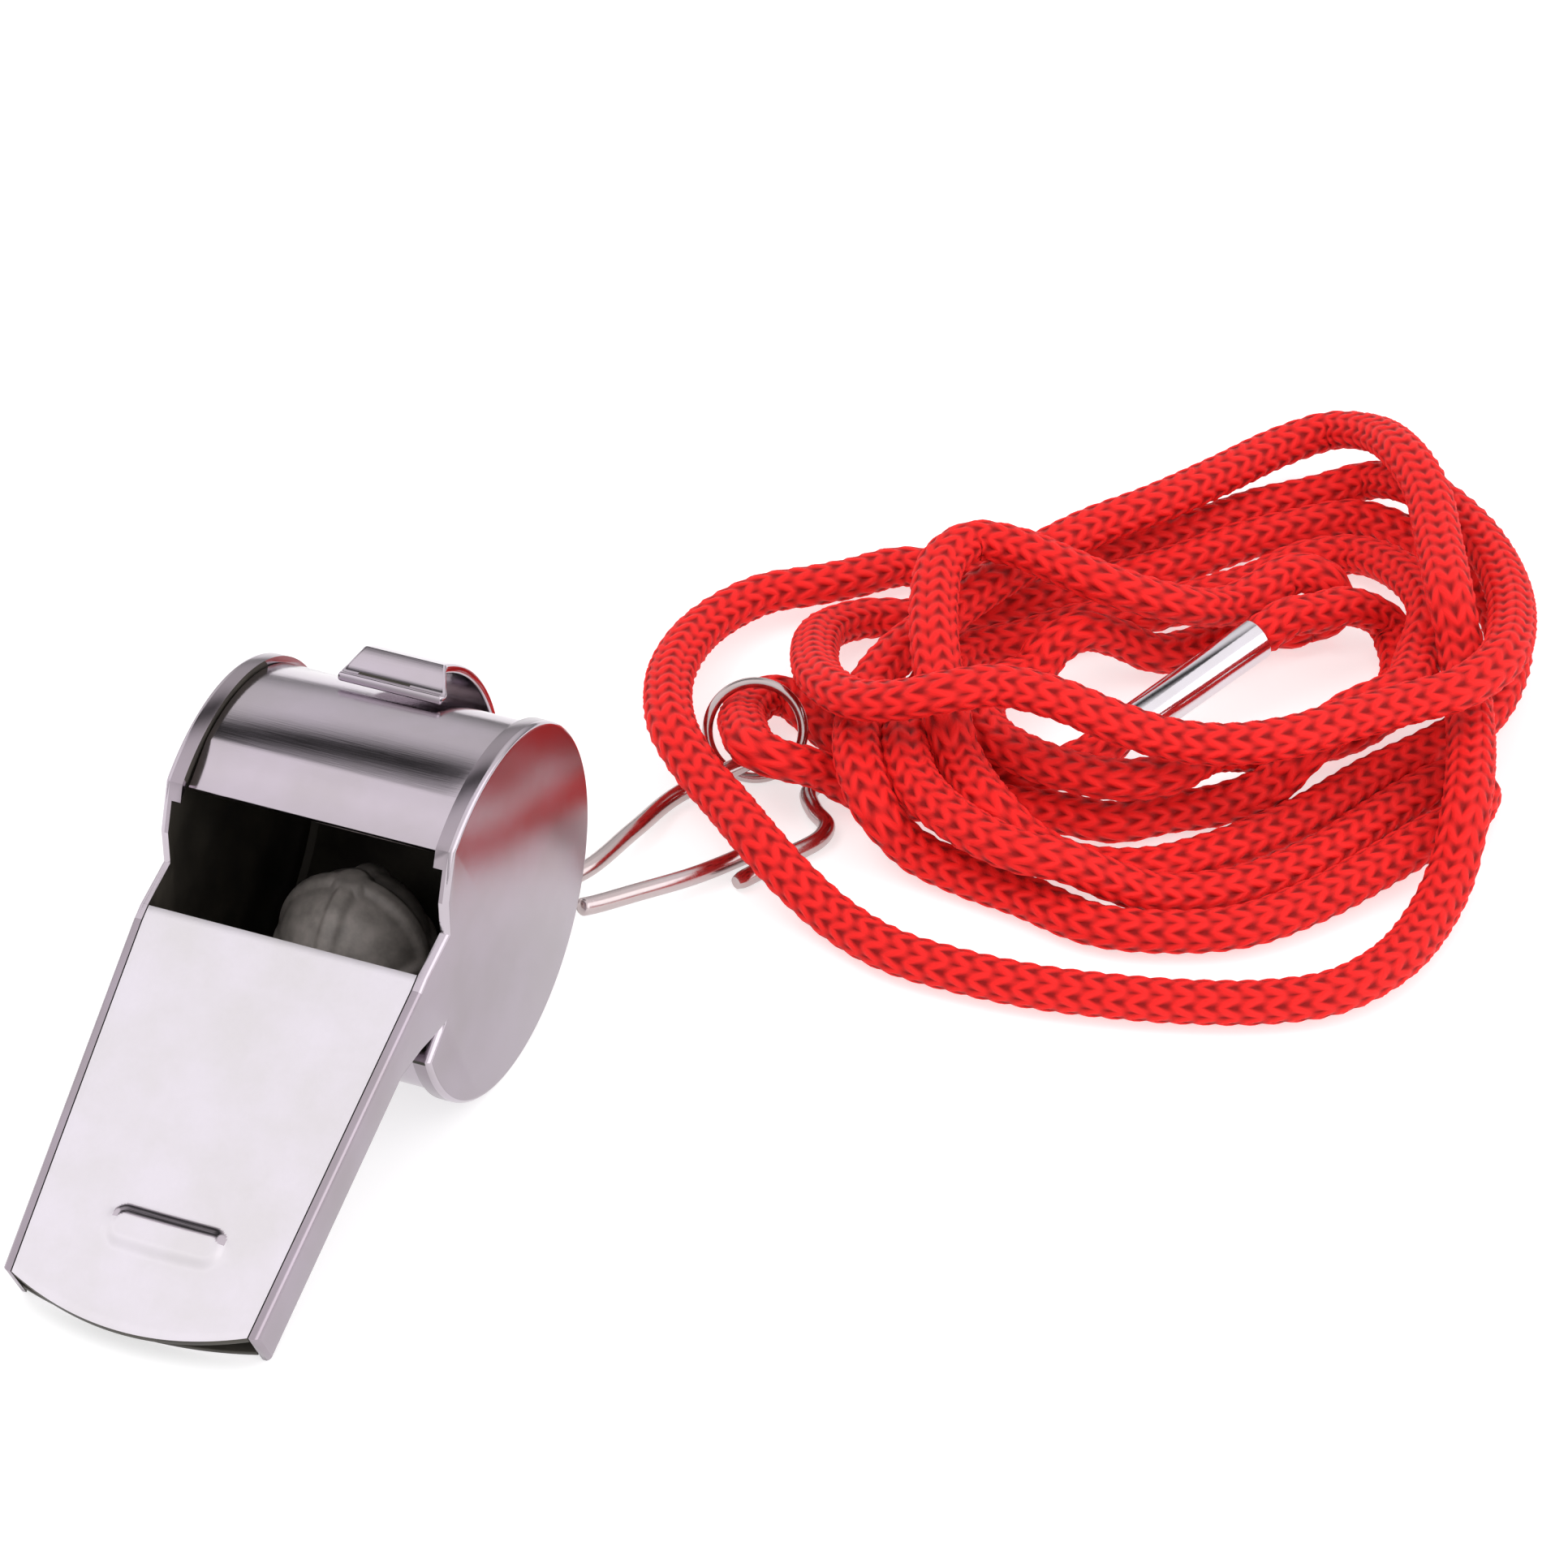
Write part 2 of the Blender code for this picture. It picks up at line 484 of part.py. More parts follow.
def thin_line(line, longest, sharpest):
    """Keeps a point wherever the line has run or turned far enough since the last one."""
    kept = [0]
    ran = 0.0
    turned = 0.0
    for i in range(1, len(line) - 1):
        before = line[i] - line[i - 1]
        after = line[i + 1] - line[i]
        ran += np.linalg.norm(before)
        cosine = before @ after / (np.linalg.norm(before) * np.linalg.norm(after))
        turned += math.degrees(math.acos(min(1.0, max(-1.0, cosine))))
        if ran >= longest or turned >= sharpest:
            kept.append(i)
            ran = 0.0
            turned = 0.0
    kept.append(len(line) - 1)
    return line[kept]


def tube_object(name, line, radius, resolution, look):
    curve = bpy.data.curves.new(name, "CURVE")
    curve.dimensions = "3D"
    curve.bevel_depth = radius * MM
    curve.bevel_resolution = resolution
    curve.use_fill_caps = True
    spline = curve.splines.new("POLY")
    spline.points.add(len(line) - 1)
    for point, place in zip(spline.points, line):
        point.co = (place[0] * MM, place[1] * MM, place[2] * MM, 1.0)
    made = bpy.data.objects.new(name, curve)
    bpy.context.collection.objects.link(made)
    curve.materials.append(finish_material(name, look))
    return made


def eye_line(axis):
    """The clip's round eye from its top, through the strap, down its right side to the waist."""
    lean = math.radians(EYE_LEAN)
    down = np.array([0.0, math.sin(lean), -math.cos(lean)])
    across = np.array([1.0, 0.0, 0.0])
    half = EYE_WIDTH / 2
    centre = np.array(axis) + down * EYE_HEIGHT / 2
    flat = EYE_FLAT / 2
    points = []
    for degrees in (24, 0, -24, -48, -72, -96, -120, -142):
        turn = math.radians(degrees)
        points.append(centre + half * math.sin(turn) * across + EYE_HEIGHT / 2 * math.cos(turn) * down)
    points.append(np.array(axis) - flat * across)
    points.append(np.array(axis) + flat * across)
    for degrees in (142, 120, 96, 72):
        turn = math.radians(degrees)
        points.append(centre + half * math.sin(turn) * across + EYE_HEIGHT / 2 * math.cos(turn) * down)
    return points


def make_clip(axis):
    route = [np.array(p) for p in reversed(CLIP_ROUTE)] + eye_line(axis)[1:]
    route += [np.array(p) for p in WAIST_ROUTE]
    line = thin_line(smooth_line(route, 10), 3.0 * WIRE, 15.0)
    tube_object("clip_frame", line, WIRE / 2, 3, WIRE_STEEL)
    leg = thin_line(smooth_line(LEG_ROUTE, 10), 3.0 * WIRE, 15.0)
    hinge = Vector(LEG_ROUTE[0])
    made = tube_object("clip_leg", leg - np.array(hinge), WIRE / 2, 3, WIRE_STEEL)
    made.location = hinge * MM


def make_ring():
    facing = Vector(RING_FACING).normalized()
    bpy.ops.mesh.primitive_torus_add(
        major_segments=48, minor_segments=10, major_radius=(RING_DIAMETER - RING_WIRE) / 2 * MM,
        minor_radius=RING_WIRE / 2 * MM, location=Vector(RING_AT) * MM,
        rotation=facing.to_track_quat("Z", "Y").to_euler())
    ring = bpy.context.object
    ring.name = "ring"
    ring.data.name = "ring"
    ring.data.materials.append(finish_material("ring", WIRE_STEEL))
    ring.data.shade_smooth()


def make_ferrule():
    low, top = Vector(FERRULE_LOW_END), Vector(FERRULE_TOP_END)
    span = top - low
    bpy.ops.mesh.primitive_cylinder_add(
        vertices=28, radius=FERRULE_DIAMETER / 2 * MM, depth=span.length * MM,
        location=(low + top) / 2 * MM, rotation=span.to_track_quat("Z", "Y").to_euler())
    ferrule = bpy.context.object
    ferrule.name = "ferrule"
    ferrule.data.name = "ferrule"
    ferrule.data.materials.append(finish_material("ferrule", STEEL))
    lip = ferrule.modifiers.new("rolled lip", "BEVEL")
    lip.width = FERRULE_LIP * MM
    lip.segments = 3
    lip.limit_method = "ANGLE"
    lip.angle_limit = math.radians(60)
    ferrule.data.shade_smooth()
    ferrule.data.set_sharp_from_angle(angle=math.radians(50))


def least_gap(line, diameter):
    """Smallest clear distance between stretches of the cord that are not next to each other."""
    dense = []
    for a, b in zip(line, line[1:]):
        count = max(1, int(np.linalg.norm(b - a) / 0.5))
        dense += [a + (b - a) * k / count for k in range(count)]
    dense = np.array(dense + [line[-1]])
    run = np.concatenate([[0.0], np.cumsum(np.linalg.norm(np.diff(dense, axis=0), axis=1))])
    apart = np.linalg.norm(dense[:, None] - dense[None], axis=2)
    apart[np.abs(run[:, None] - run[None]) < 2.4 * diameter] = np.inf
    return apart.min() - diameter, run[-1]


def make_cord():
    low, top = np.array(FERRULE_LOW_END), np.array(FERRULE_TOP_END)
    along = (top - low) / np.linalg.norm(top - low)
    first = [top + along * GAP, top + along * (GAP + CORD)]
    last = [low - along * (GAP + CORD), low - along * GAP]
    line = smooth_line([first[1]] + CORD_ROUTE + [last[0]], 12)
    line = np.vstack([first[0], thin_line(line, 1.6 * CORD, 16.0), last[1]])
    line[1:-1, 2] = np.maximum(line[1:-1, 2], CORD / 2 + 0.03)
    tube_object("cord", line, CORD / 2, CORD_BEVEL_STEPS, CORD_RED)
    gap, length = least_gap(line, CORD)
    print("cord points %d, length %.1f mm, least gap to itself %.2f mm" % (len(line), length, gap))


def build():
    clear_scene()
    drum_y, drum_z = DRUM_AT[1], CHEEK_RADIUS
    eye_y, eye_z = polar(EYE_RADIUS, EYE_ANGLE)
    turned = Matrix.Rotation(TILT, 3, "X") @ Vector((0, eye_y, eye_z))
    axis = (DRUM_AT[0], drum_y + turned.y, drum_z + turned.z)
    swing = empty("whistle_swing", axis)
    swing.rotation_euler = (TILT, 0, 0)
    at = (0, -eye_y, -eye_z)
    make_cheek("right_cheek", 1, swing, at)
    make_cheek("left_cheek", -1, swing, at)
    make_drum_band(swing, at)
    make_mouthpiece(swing, at)
    make_strap(swing, at)
    orbit = empty("pea_orbit", at, swing)
    orbit.rotation_euler = (-TILT, 0, 0)
    make_pea(orbit)
    make_clip(axis)
    make_ring()
    make_ferrule()
    make_cord()
    bpy.context.view_layer.update()
    print("swing axis y %.3f z %.3f mm, tilt %.3f degrees" % (axis[1], axis[2], math.degrees(TILT)))


build()
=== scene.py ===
"""Looks of a metal pea whistle: its plated body, pea, wire clip, ring, ferrule and knitted neck cord.

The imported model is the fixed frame: metres, +Z up, the origin on the table under the whistle.
Each piece here is modelled where its node lies, by an operator of its own. A sidebar panel lists
the operators, with the sizes and colours that they read.
"""
import json
import math

import bpy
import numpy as np
from mathutils import Matrix, Vector


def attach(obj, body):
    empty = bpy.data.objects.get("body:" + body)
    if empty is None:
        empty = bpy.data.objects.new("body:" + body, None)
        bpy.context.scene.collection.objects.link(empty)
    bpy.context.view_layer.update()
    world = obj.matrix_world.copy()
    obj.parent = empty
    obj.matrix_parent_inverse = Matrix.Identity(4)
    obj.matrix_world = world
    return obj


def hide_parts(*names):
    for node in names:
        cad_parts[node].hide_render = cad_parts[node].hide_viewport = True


bl_info = {
    "name": "Pea Whistle",
    "version": (1, 0, 0),
    "blender": (4, 5, 0),
    "location": "3D Viewport > Sidebar > Whistle",
    "description": "Builds the finished surfaces of a pea whistle and its knitted neck cord",
    "category": "Object",
}

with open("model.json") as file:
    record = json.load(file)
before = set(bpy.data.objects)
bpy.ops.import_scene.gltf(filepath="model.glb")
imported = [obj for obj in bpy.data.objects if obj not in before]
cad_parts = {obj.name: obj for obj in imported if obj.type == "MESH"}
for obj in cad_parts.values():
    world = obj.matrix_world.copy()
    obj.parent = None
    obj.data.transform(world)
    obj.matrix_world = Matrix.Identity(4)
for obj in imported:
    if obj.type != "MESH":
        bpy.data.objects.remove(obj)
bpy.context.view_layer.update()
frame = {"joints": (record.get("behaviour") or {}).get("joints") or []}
HINGES = {joint["name"]: Vector(joint["pos_m"]) for joint in frame["joints"]}

MM = 0.001
TENTHS_IN_METRE = 10000
X_AXIS = Vector((1, 0, 0))

# Whistle body, in its own frame: X along the drum's axis, -Y to the mouth, +Z off the top plate
TILT = math.radians(29.779)
DRUM_AT = HINGES["pea_round_drum"]
WHISTLE_FRAME = Matrix.Translation(DRUM_AT) @ Matrix.Rotation(TILT, 4, "X")
SHEET = 0.6 * MM
GAP = 0.3 * MM
SEAM = 0.08 * MM
CHEEK_RADIUS = 12.0 * MM
CHEEK_OUTER = 9.6 * MM
RIM_DEPTH = 1.2 * MM
BAND_RADIUS = 11.6 * MM
LIP_ANGLE = 98.0
LIP_CORNER_ANGLE = 98.6
LIP_FLAT_FROM = 82.0
LIP_DROP = 0.3 * MM
SLIT_MOUTH_ANGLE = -192.8
PLATE_TOP = 8.3 * MM
PLATE_REAR = 8.5 * MM
TAPER_FROM = 9.5 * MM
MOUTH_LENGTH = 32.9 * MM
MOUTH_BOW = 1.7 * MM
MOUTH_TAPER = 1.2 * MM
TAIL_BOTTOM = 5.0 * MM
FLOOR_BOTTOM = 5.6 * MM
FLOOR_SHEET = 0.5 * MM
FLOOR_BOW = 1.0 * MM
WIND_SLOT = 0.8 * MM
RAMP_FOOT = -9.58 * MM
NOTCH_CORNERS = [(-5.3 * MM, 7.7 * MM), (-4.25 * MM, 9.7 * MM)]
SLIT_CORNERS = [(-9.5 * MM, 2.9 * MM), (-11.7 * MM, 4.3 * MM), (-13.9 * MM, 5.25 * MM)]
# Ends of the stretch where the rim's inner edge by the band gets painted shade for the groove; the side
# plates are sliced there
SHADED_RIM_GROOVE = (-1.5 * MM, 9.0 * MM)
BAR_LENGTH = 8.0 * MM
BAR_WIDTH = 2.5 * MM
BAR_SLOPE = 0.75 * MM
BAR_AT = Vector((0.5, -28.0)) * MM
BAR_MARGIN = 0.3 * MM
# Steps of the top plate's mesh, across and along, and the closer ones on the bar and its margin
PLATE_STEPS = (0.45 * MM, 0.6 * MM)
BAR_STEPS = (0.09 * MM, 0.08 * MM)
FLOOR_COLUMNS = 28
STRAP_WIDTH = 5.5 * MM
STRAP_FOOT_WIDTH = 7.0 * MM
STRAP_RISE = 1.5 * MM
STRAP_ENDS = (42.0, -54.0)
STRAP_FOOT_ARC = 12.0
STRAP_RAMP = 10.0
STRAP_FRONT_ARC = 2.5
STRAP_FRONT_RAMP = 5.5
# How much of the front ramp is straight; the rest eases in and out
STRAIGHT_SHARE = 0.7
# Span across the strap of the strip of painted shade where it rises from its front foot
STRAP_CREASE_SHADE = (-2.2 * MM, 1.2 * MM)
STRAP_ROUND = 0.22 * MM
STRAP_ROWS = 96
STRAP_COLUMNS = 24

# Faces within this of a plane or a level count as lying on it
ON_PLANE = 0.02 * MM
# A sheet piece's other finishes, by their number in its list: the dark inside, painted shade on dull
# metal, and the polish
PAINTED_SHADE = 1
BRIGHT = 2

CHEEK_INNER = CHEEK_OUTER - SHEET
BAND_INNER = BAND_RADIUS - SHEET
BAND_HALF = CHEEK_OUTER - RIM_DEPTH - SEAM

# Pea
PEA_RADIUS = 4.75 * MM
PEA_NUB_TOP = 5.25 * MM
PEA_AT = DRUM_AT + Vector((-1.0, 0.0, -5.45)) * MM
RIB_HEIGHT = 0.38 * MM
RIB_WIDTH = 0.62 * MM
NUB_WIDTH = 1.2 * MM

# Wire clip, whose round eye hangs from this point and leans back
WIRE = 1.2 * MM
EYE_AT = HINGES["whistle_on_clip"]
EYE_DIAMETER = 12.0 * MM
EYE_FLAT = 6.0 * MM
EYE_LEAN = math.radians(10.6)

# Ring, ferrule and cord
RING_DIAMETER = 7.0 * MM
RING_WIRE = 0.7 * MM
RING_AT = Vector((6.1, 33.55, 3.0)) * MM
RING_FACING = Vector((0.299, -0.752, 0.588))
FERRULE_DIAMETER = 2.9 * MM
FERRULE_WALL = 0.22 * MM
FERRULE_TOP_END = Vector((33.7, 54.2, 4.9)) * MM
FERRULE_LOW_END = Vector((28.2, 43.8, 2.4)) * MM
FERRULE_BORE = FERRULE_DIAMETER / 2 - FERRULE_WALL - 0.02 * MM
CORD = 2.6 * MM
CORD_TUCK = 1.4 * MM
FLOOR_CLEARANCE = 0.03 * MM

# One stitch's relief, used by the cord's mesh and its yarn: the twisted ridge's share of it, and the
# sine that rounds each leg across its wale
RIDGE_SHARE = 0.6
LEG_BULGE = 2.5
LEG_START = 0.42
# Steps of the cord's mesh across a wale and along a stitch
WALE_STEPS = 6
STITCH_STEPS = 4
# Share of a stitch's height that lies under the cord's measured surface, and how much wider the cord
# grows with each ring outside the ferrule
SUNK_SHARE = 0.4
SWELL = 0.5 * MM

# Routes, in tenths of a millimetre: the clip's wire past its eye, and its sprung leg
CLIP_ROUTE = [
    (-24, 120, 24), (2, 134, 22), (17, 156, 22), (24, 220, 14), (31, 276, 8), (52, 301, 15),
    (65, 316, 19), (73, 331, 19), (82, 347, 12), (98, 347, 8), (109, 332, 7), (109, 312, 7),
    (120, 296, 7), (133, 284, 7), (135, 269, 7), (122, 240, 7), (104, 202, 7)]
WAIST_ROUTE = [
    (16, 109, 45), (25, 104, 36), (32, 106, 30)]
LEG_ROUTE = [
    (35, 112, 28), (41, 123, 25), (56, 150, 20), (80, 194, 12), (102, 240, 7)]

# The cord's middle line, from the ferrule's upper end round the pile to its lower end, in tenths too
OUT_OF_FERRULE = [
    (365, 588, 49), (378, 609, 45), (397, 631, 26), (409, 627, 16), (426, 592, 15), (429, 545, 16),
    (416, 510, 15), (392, 480, 16), (371, 447, 27), (351, 410, 44), (336, 370, 49), (311, 352, 49),
    (274, 351, 47), (240, 357, 47), (213, 371, 46)]
SMALL_MIDDLE_LOOP = [
    (194, 402, 42), (192, 442, 36), (205, 469, 32), (210, 488, 40), (224, 507, 46), (243, 527, 34),
    (268, 540, 20), (290, 568, 15), (314, 600, 15), (339, 612, 15), (344, 621, 15), (357, 628, 18),
    (361, 636, 30), (354, 637, 42), (341, 633, 47), (328, 623, 47)]
LEFT_ARCH = [
    (319, 601, 46), (304, 575, 46), (281, 539, 64), (240, 522, 78), (203, 529, 80), (164, 538, 80),
    (137, 534, 80), (127, 502, 80), (139, 455, 80), (156, 413, 78), (173, 380, 71), (194, 343, 67),
    (211, 326, 50), (249, 291, 46), (276, 288, 30), (304, 297, 16), (344, 311, 15)]
UNDER_RIGHT_SIDE = [
    (380, 346, 15), (417, 402, 15), (446, 467, 15), (470, 510, 15), (488, 551, 15), (490, 607, 15),
    (476, 665, 15), (448, 705, 15), (412, 733, 15), (372, 755, 15), (335, 759, 15), (306, 736, 15),
    (273, 701, 15), (241, 656, 15), (207, 617, 15), (173, 583, 15), (138, 549, 15), (102, 522, 15)]
TOP_ARM = [
    (72, 508, 16), (57, 471, 26), (71, 413, 46), (105, 348, 72), (142, 318, 87), (172, 314, 98),
    (200, 320, 108), (229, 340, 108), (265, 347, 104), (303, 351, 94), (339, 360, 84), (374, 371, 82),
    (410, 396, 82), (437, 428, 82), (465, 460, 82), (494, 490, 84), (507, 535, 82), (494, 605, 68),
    (462, 681, 54), (422, 735, 48)]
FAR_SIDE = [
    (378, 770, 44), (334, 798, 24), (301, 777, 16), (269, 747, 15), (242, 710, 15), (208, 671, 15),
    (177, 636, 15), (141, 603, 15), (105, 587, 15), (68, 576, 16), (45, 544, 20), (24, 521, 22),
    (0, 501, 22), (-15, 474, 22)]
OUTER_LOOP = [
    (-23, 437, 24), (-19, 389, 30), (-3, 338, 40), (21, 293, 46), (50, 264, 42), (81, 241, 38),
    (115, 213, 36), (149, 194, 26), (186, 179, 16), (228, 164, 15), (273, 161, 15), (321, 164, 15),
    (367, 173, 15), (416, 187, 15), (463, 207, 15), (499, 234, 15), (521, 275, 15), (529, 325, 15),
    (530, 373, 24), (526, 409, 44), (510, 471, 48)]
TOP_LOOP = [
    (488, 532, 48), (471, 568, 60), (455, 592, 80), (427, 652, 82), (398, 715, 80), (365, 764, 74),
    (327, 811, 54), (294, 824, 40), (267, 797, 36), (242, 733, 42), (216, 671, 48), (186, 625, 48),
    (163, 575, 48), (145, 523, 48), (132, 473, 48)]
NEAR_SIDE = [
    (122, 428, 48), (122, 384, 48), (133, 338, 51), (153, 293, 52), (178, 265, 41), (201, 263, 22),
    (241, 258, 15), (282, 252, 15), (335, 241, 15), (381, 252, 15), (422, 276, 15), (456, 321, 15),
    (482, 373, 15), (500, 413, 15), (515, 445, 15)]
BACK_ALONG_NEAR_SIDE = [
    (512, 480, 15), (495, 484, 15), (480, 460, 15), (465, 424, 15), (441, 363, 15), (404, 313, 15),
    (362, 283, 19), (336, 269, 31), (308, 257, 46), (278, 249, 51), (230, 264, 52), (191, 294, 52),
    (168, 333, 54)]
INNER_LOOP = [
    (151, 398, 36), (145, 465, 20), (151, 501, 16), (177, 525, 15), (205, 560, 15), (237, 585, 15),
    (271, 623, 15), (299, 657, 15), (322, 697, 15), (352, 712, 18), (396, 679, 34), (434, 620, 48),
    (441, 575, 44), (446, 520, 52), (422, 486, 48), (409, 438, 46), (393, 421, 25), (365, 398, 15),
    (335, 373, 16), (307, 351, 15), (270, 347, 15), (238, 341, 15), (206, 333, 15), (176, 322, 15),
    (141, 319, 15)]
THROUGH_RING = [
    (117, 305, 34), (97, 286, 49), (81, 286, 53), (64, 310, 47), (49, 342, 33), (44, 364, 25),
    (45, 389, 19), (59, 400, 15), (86, 384, 15), (120, 364, 15), (160, 361, 15), (205, 365, 15),
    (244, 382, 15)]
CORD_ROUTE = (
    OUT_OF_FERRULE + SMALL_MIDDLE_LOOP + LEFT_ARCH + UNDER_RIGHT_SIDE + TOP_ARM + FAR_SIDE
    + OUTER_LOOP + TOP_LOOP + NEAR_SIDE + BACK_ALONG_NEAR_SIDE + INNER_LOOP + THROUGH_RING)

# The photograph's camera
CAMERA_AT = Vector((142.598, -292.301, 247.181)) * MM
CAMERA_RIGHT = Vector((0.922322, 0.386345, 0.007716))
CAMERA_UP = Vector((-0.228109, 0.528230, 0.817887))
CAMERA_LENS = 149.64

# The large soft lamp, what it looks at and its two sides
LAMP_AT = Vector((-0.33, -0.17, 0.76))
LAMP_AIM = Vector((0.02, 0.03, 0.0))
LAMP_SIDES = (0.6, 0.3)

# The studio's light by angle from the front, over the top (90 degrees) to the back
SKY_PEAK = 1.3
SKY_COLOUR = (1.0, 0.985, 1.0, 1.0)
SKY_STEPS = [
    (0, 0.46), (27, 0.78), (55, 0.92), (70, 1.0), (80, 0.94), (100, 0.92), (140, 0.88), (162, 0.60),
    (180, 0.15)]
# A brighter panel, by how far to the right it hangs and how much light it adds
PANEL_AT = 0.80
PANEL_HALF = 0.17
PANEL_GAIN = 0.8
# The share of the light that is left behind the dark screen that hangs above, a little to the left
SCREEN_AT = -0.38
SCREEN_HALF = 0.34
SCREEN_STEPS = [
    (88, 1.0), (97, 0.75), (105, 0.28), (112, 0.03), (119, 0.03), (125, 0.34), (131, 0.62), (138, 0.78),
    (150, 0.90), (160, 1.0)]


class WhistleSizes(bpy.types.PropertyGroup):
    rim_round: bpy.props.FloatProperty(
        name="Rim rounding", description="Radius rolled on the outer edge of both side plates",
        default=0.35 * MM, unit="LENGTH")
    edge_round: bpy.props.FloatProperty(
        name="Edge rounding", description="Radius left on the other sheet edges",
        default=0.07 * MM, unit="LENGTH")
    bar_height: bpy.props.FloatProperty(
        name="Bar height", description="How far the pressed bar stands off the top plate",
        default=0.25 * MM, unit="LENGTH")
    wale_count: bpy.props.IntProperty(
        name="Wales", description="Columns of stitches round the cord", default=6)
    stitch_length: bpy.props.FloatProperty(
        name="Stitch length", description="Length of one knitted stitch along the cord",
        default=1.4 * MM, unit="LENGTH")
    stitch_height: bpy.props.FloatProperty(
        name="Stitch height", description="How far the yarn stands off the cord's core",
        default=0.2 * MM, unit="LENGTH")
    stitch_slope: bpy.props.FloatProperty(
        name="Stitch slope", description="Rise of a stitch's leg across its wale, in stitches",
        default=0.62)
    cord_spread: bpy.props.FloatProperty(
        name="Cord spread", description="How far the cord flattens sideways under its own weight",
        default=1.2)
    cord_settle: bpy.props.FloatProperty(
        name="Cord settle", description="Share of its height that the flattened cord keeps",
        default=0.92)


class WhistleLook(bpy.types.PropertyGroup):
    # Painted reflection: the plating is darkened and tinted lilac as if it reflected a grey-lilac floor
    # rather than the white one
    polished_colour: bpy.props.FloatVectorProperty(
        name="Polished plate", description="Plating of the body", subtype="COLOR",
        default=(0.49, 0.445, 0.485))
    satin_colour: bpy.props.FloatVectorProperty(
        name="Satin plate", description="Plating of the mouthpiece's top", subtype="COLOR",
        default=(0.72, 0.695, 0.725))
    wire_colour: bpy.props.FloatVectorProperty(
        name="Wire", description="Plating of the clip and the ring", subtype="COLOR",
        default=(0.50, 0.43, 0.42))
    # Painted shade: near-black colour for the dull metal inside the drum and the mouth and in the grooves
    # and creases
    inside_shade_colour: bpy.props.FloatVectorProperty(
        name="Inside", description="Bare dull metal inside the drum", subtype="COLOR",
        default=(0.075, 0.066, 0.052))
    pea_colour: bpy.props.FloatVectorProperty(
        name="Pea", description="Moulded pea", subtype="COLOR", default=(0.38, 0.345, 0.33))
    yarn_colour: bpy.props.FloatVectorProperty(
        name="Yarn", description="Raised part of a stitch", subtype="COLOR",
        default=(0.84, 0.015, 0.013))
    # Painted shade: the dark red in the holes between stitches and on their lower parts
    yarn_painted_shade: bpy.props.FloatVectorProperty(
        name="Yarn shade", description="Holes between the stitches", subtype="COLOR",
        default=(0.27, 0.001, 0.001))


class StudioSettings(bpy.types.PropertyGroup):
    floor_size: bpy.props.FloatProperty(
        name="Floor", description="Side of the square floor", default=3.0, unit="LENGTH")
    floor_glow: bpy.props.FloatProperty(
        name="Floor glow", description="Light that comes up through the pale floor", default=0.62)
    sky_strength: bpy.props.FloatProperty(
        name="Studio light", description="Brightness of the studio overhead", default=1.0)
    lamp_power: bpy.props.FloatProperty(
        name="Soft lamp", description="Power of the large lamp overhead", default=1.7, subtype="POWER")


def sizes():
    return bpy.context.scene.whistle_sizes


def look():
    return bpy.context.scene.whistle_look


class NodeGraph:
    """The nodes of a material or of the world, with short calls to add and link them."""

    def __init__(self, owner):
        owner.use_nodes = True
        self.nodes = owner.node_tree.nodes
        self.links = owner.node_tree.links

    def node(self, kind, inputs=None, **settings):
        made = self.nodes.new(kind)
        for name, value in settings.items():
            setattr(made, name, value)
        for name, value in (inputs or {}).items():
            self.feed(made.inputs[name], value)
        return made

    def feed(self, socket, value):
        if isinstance(value, bpy.types.NodeSocket):
            self.links.new(value, socket)
        else:
            socket.default_value = value

    def math(self, operation, *values):
        made = self.node("ShaderNodeMath", operation=operation)
        for socket, value in zip(made.inputs, values):
            self.feed(socket, value)
        return made.outputs[0]

    def plus(self, first, second):
        return self.math("ADD", first, second)

    def minus(self, first, second):
        return self.math("SUBTRACT", first, second)

    def times(self, first, second):
        return self.math("MULTIPLY", first, second)


class Finish(NodeGraph):
    """A new material, with short calls for what the finishes are made of."""

    def __init__(self, name):
        self.material = bpy.data.materials.new(name)
        super().__init__(self.material)
        self.shader = self.nodes["Principled BSDF"]

    def noise(self, place, scale, detail=3.0, roughness=0.55):
        made = self.node(
            "ShaderNodeTexNoise",
            {"Vector": place, "Scale": scale, "Detail": detail, "Roughness": roughness})
        return made.outputs["Fac"]

    def stretched(self, place, scale):
        return self.node("ShaderNodeMapping", {"Vector": place, "Scale": scale}).outputs["Vector"]

    def spread(self, value, low, high, to_low=0.0, to_high=1.0):
        made = self.node(
            "ShaderNodeMapRange",
            {"Value": value, "From Min": low, "From Max": high, "To Min": to_low, "To Max": to_high})
        return made.outputs["Result"]

    def blend_colours(self, share, first, second):
        made = self.node("ShaderNodeMix", {0: share}, data_type="RGBA")
        self.feed(made.inputs[6], rgba(first))
        self.feed(made.inputs[7], rgba(second))
        return made.outputs[2]

    def bump(self, height, strength, distance):
        made = self.node("ShaderNodeBump", {"Height": height, "Strength": strength, "Distance": distance})
        self.feed(self.shader.inputs["Normal"], made.outputs["Normal"])

    def set(self, **values):
        for name, value in values.items():
            self.feed(self.shader.inputs[name.replace("_", " ").title()], value)


def rgba(colour):
    if isinstance(colour, bpy.types.NodeSocket):
        return colour
    return (*colour, 1.0)


def tinted(colour, factors):
    return tuple(min(1.0, part * factor) for part, factor in zip(colour, factors))


def object_place(finish):
    return finish.node("ShaderNodeTexCoord").outputs["Object"]


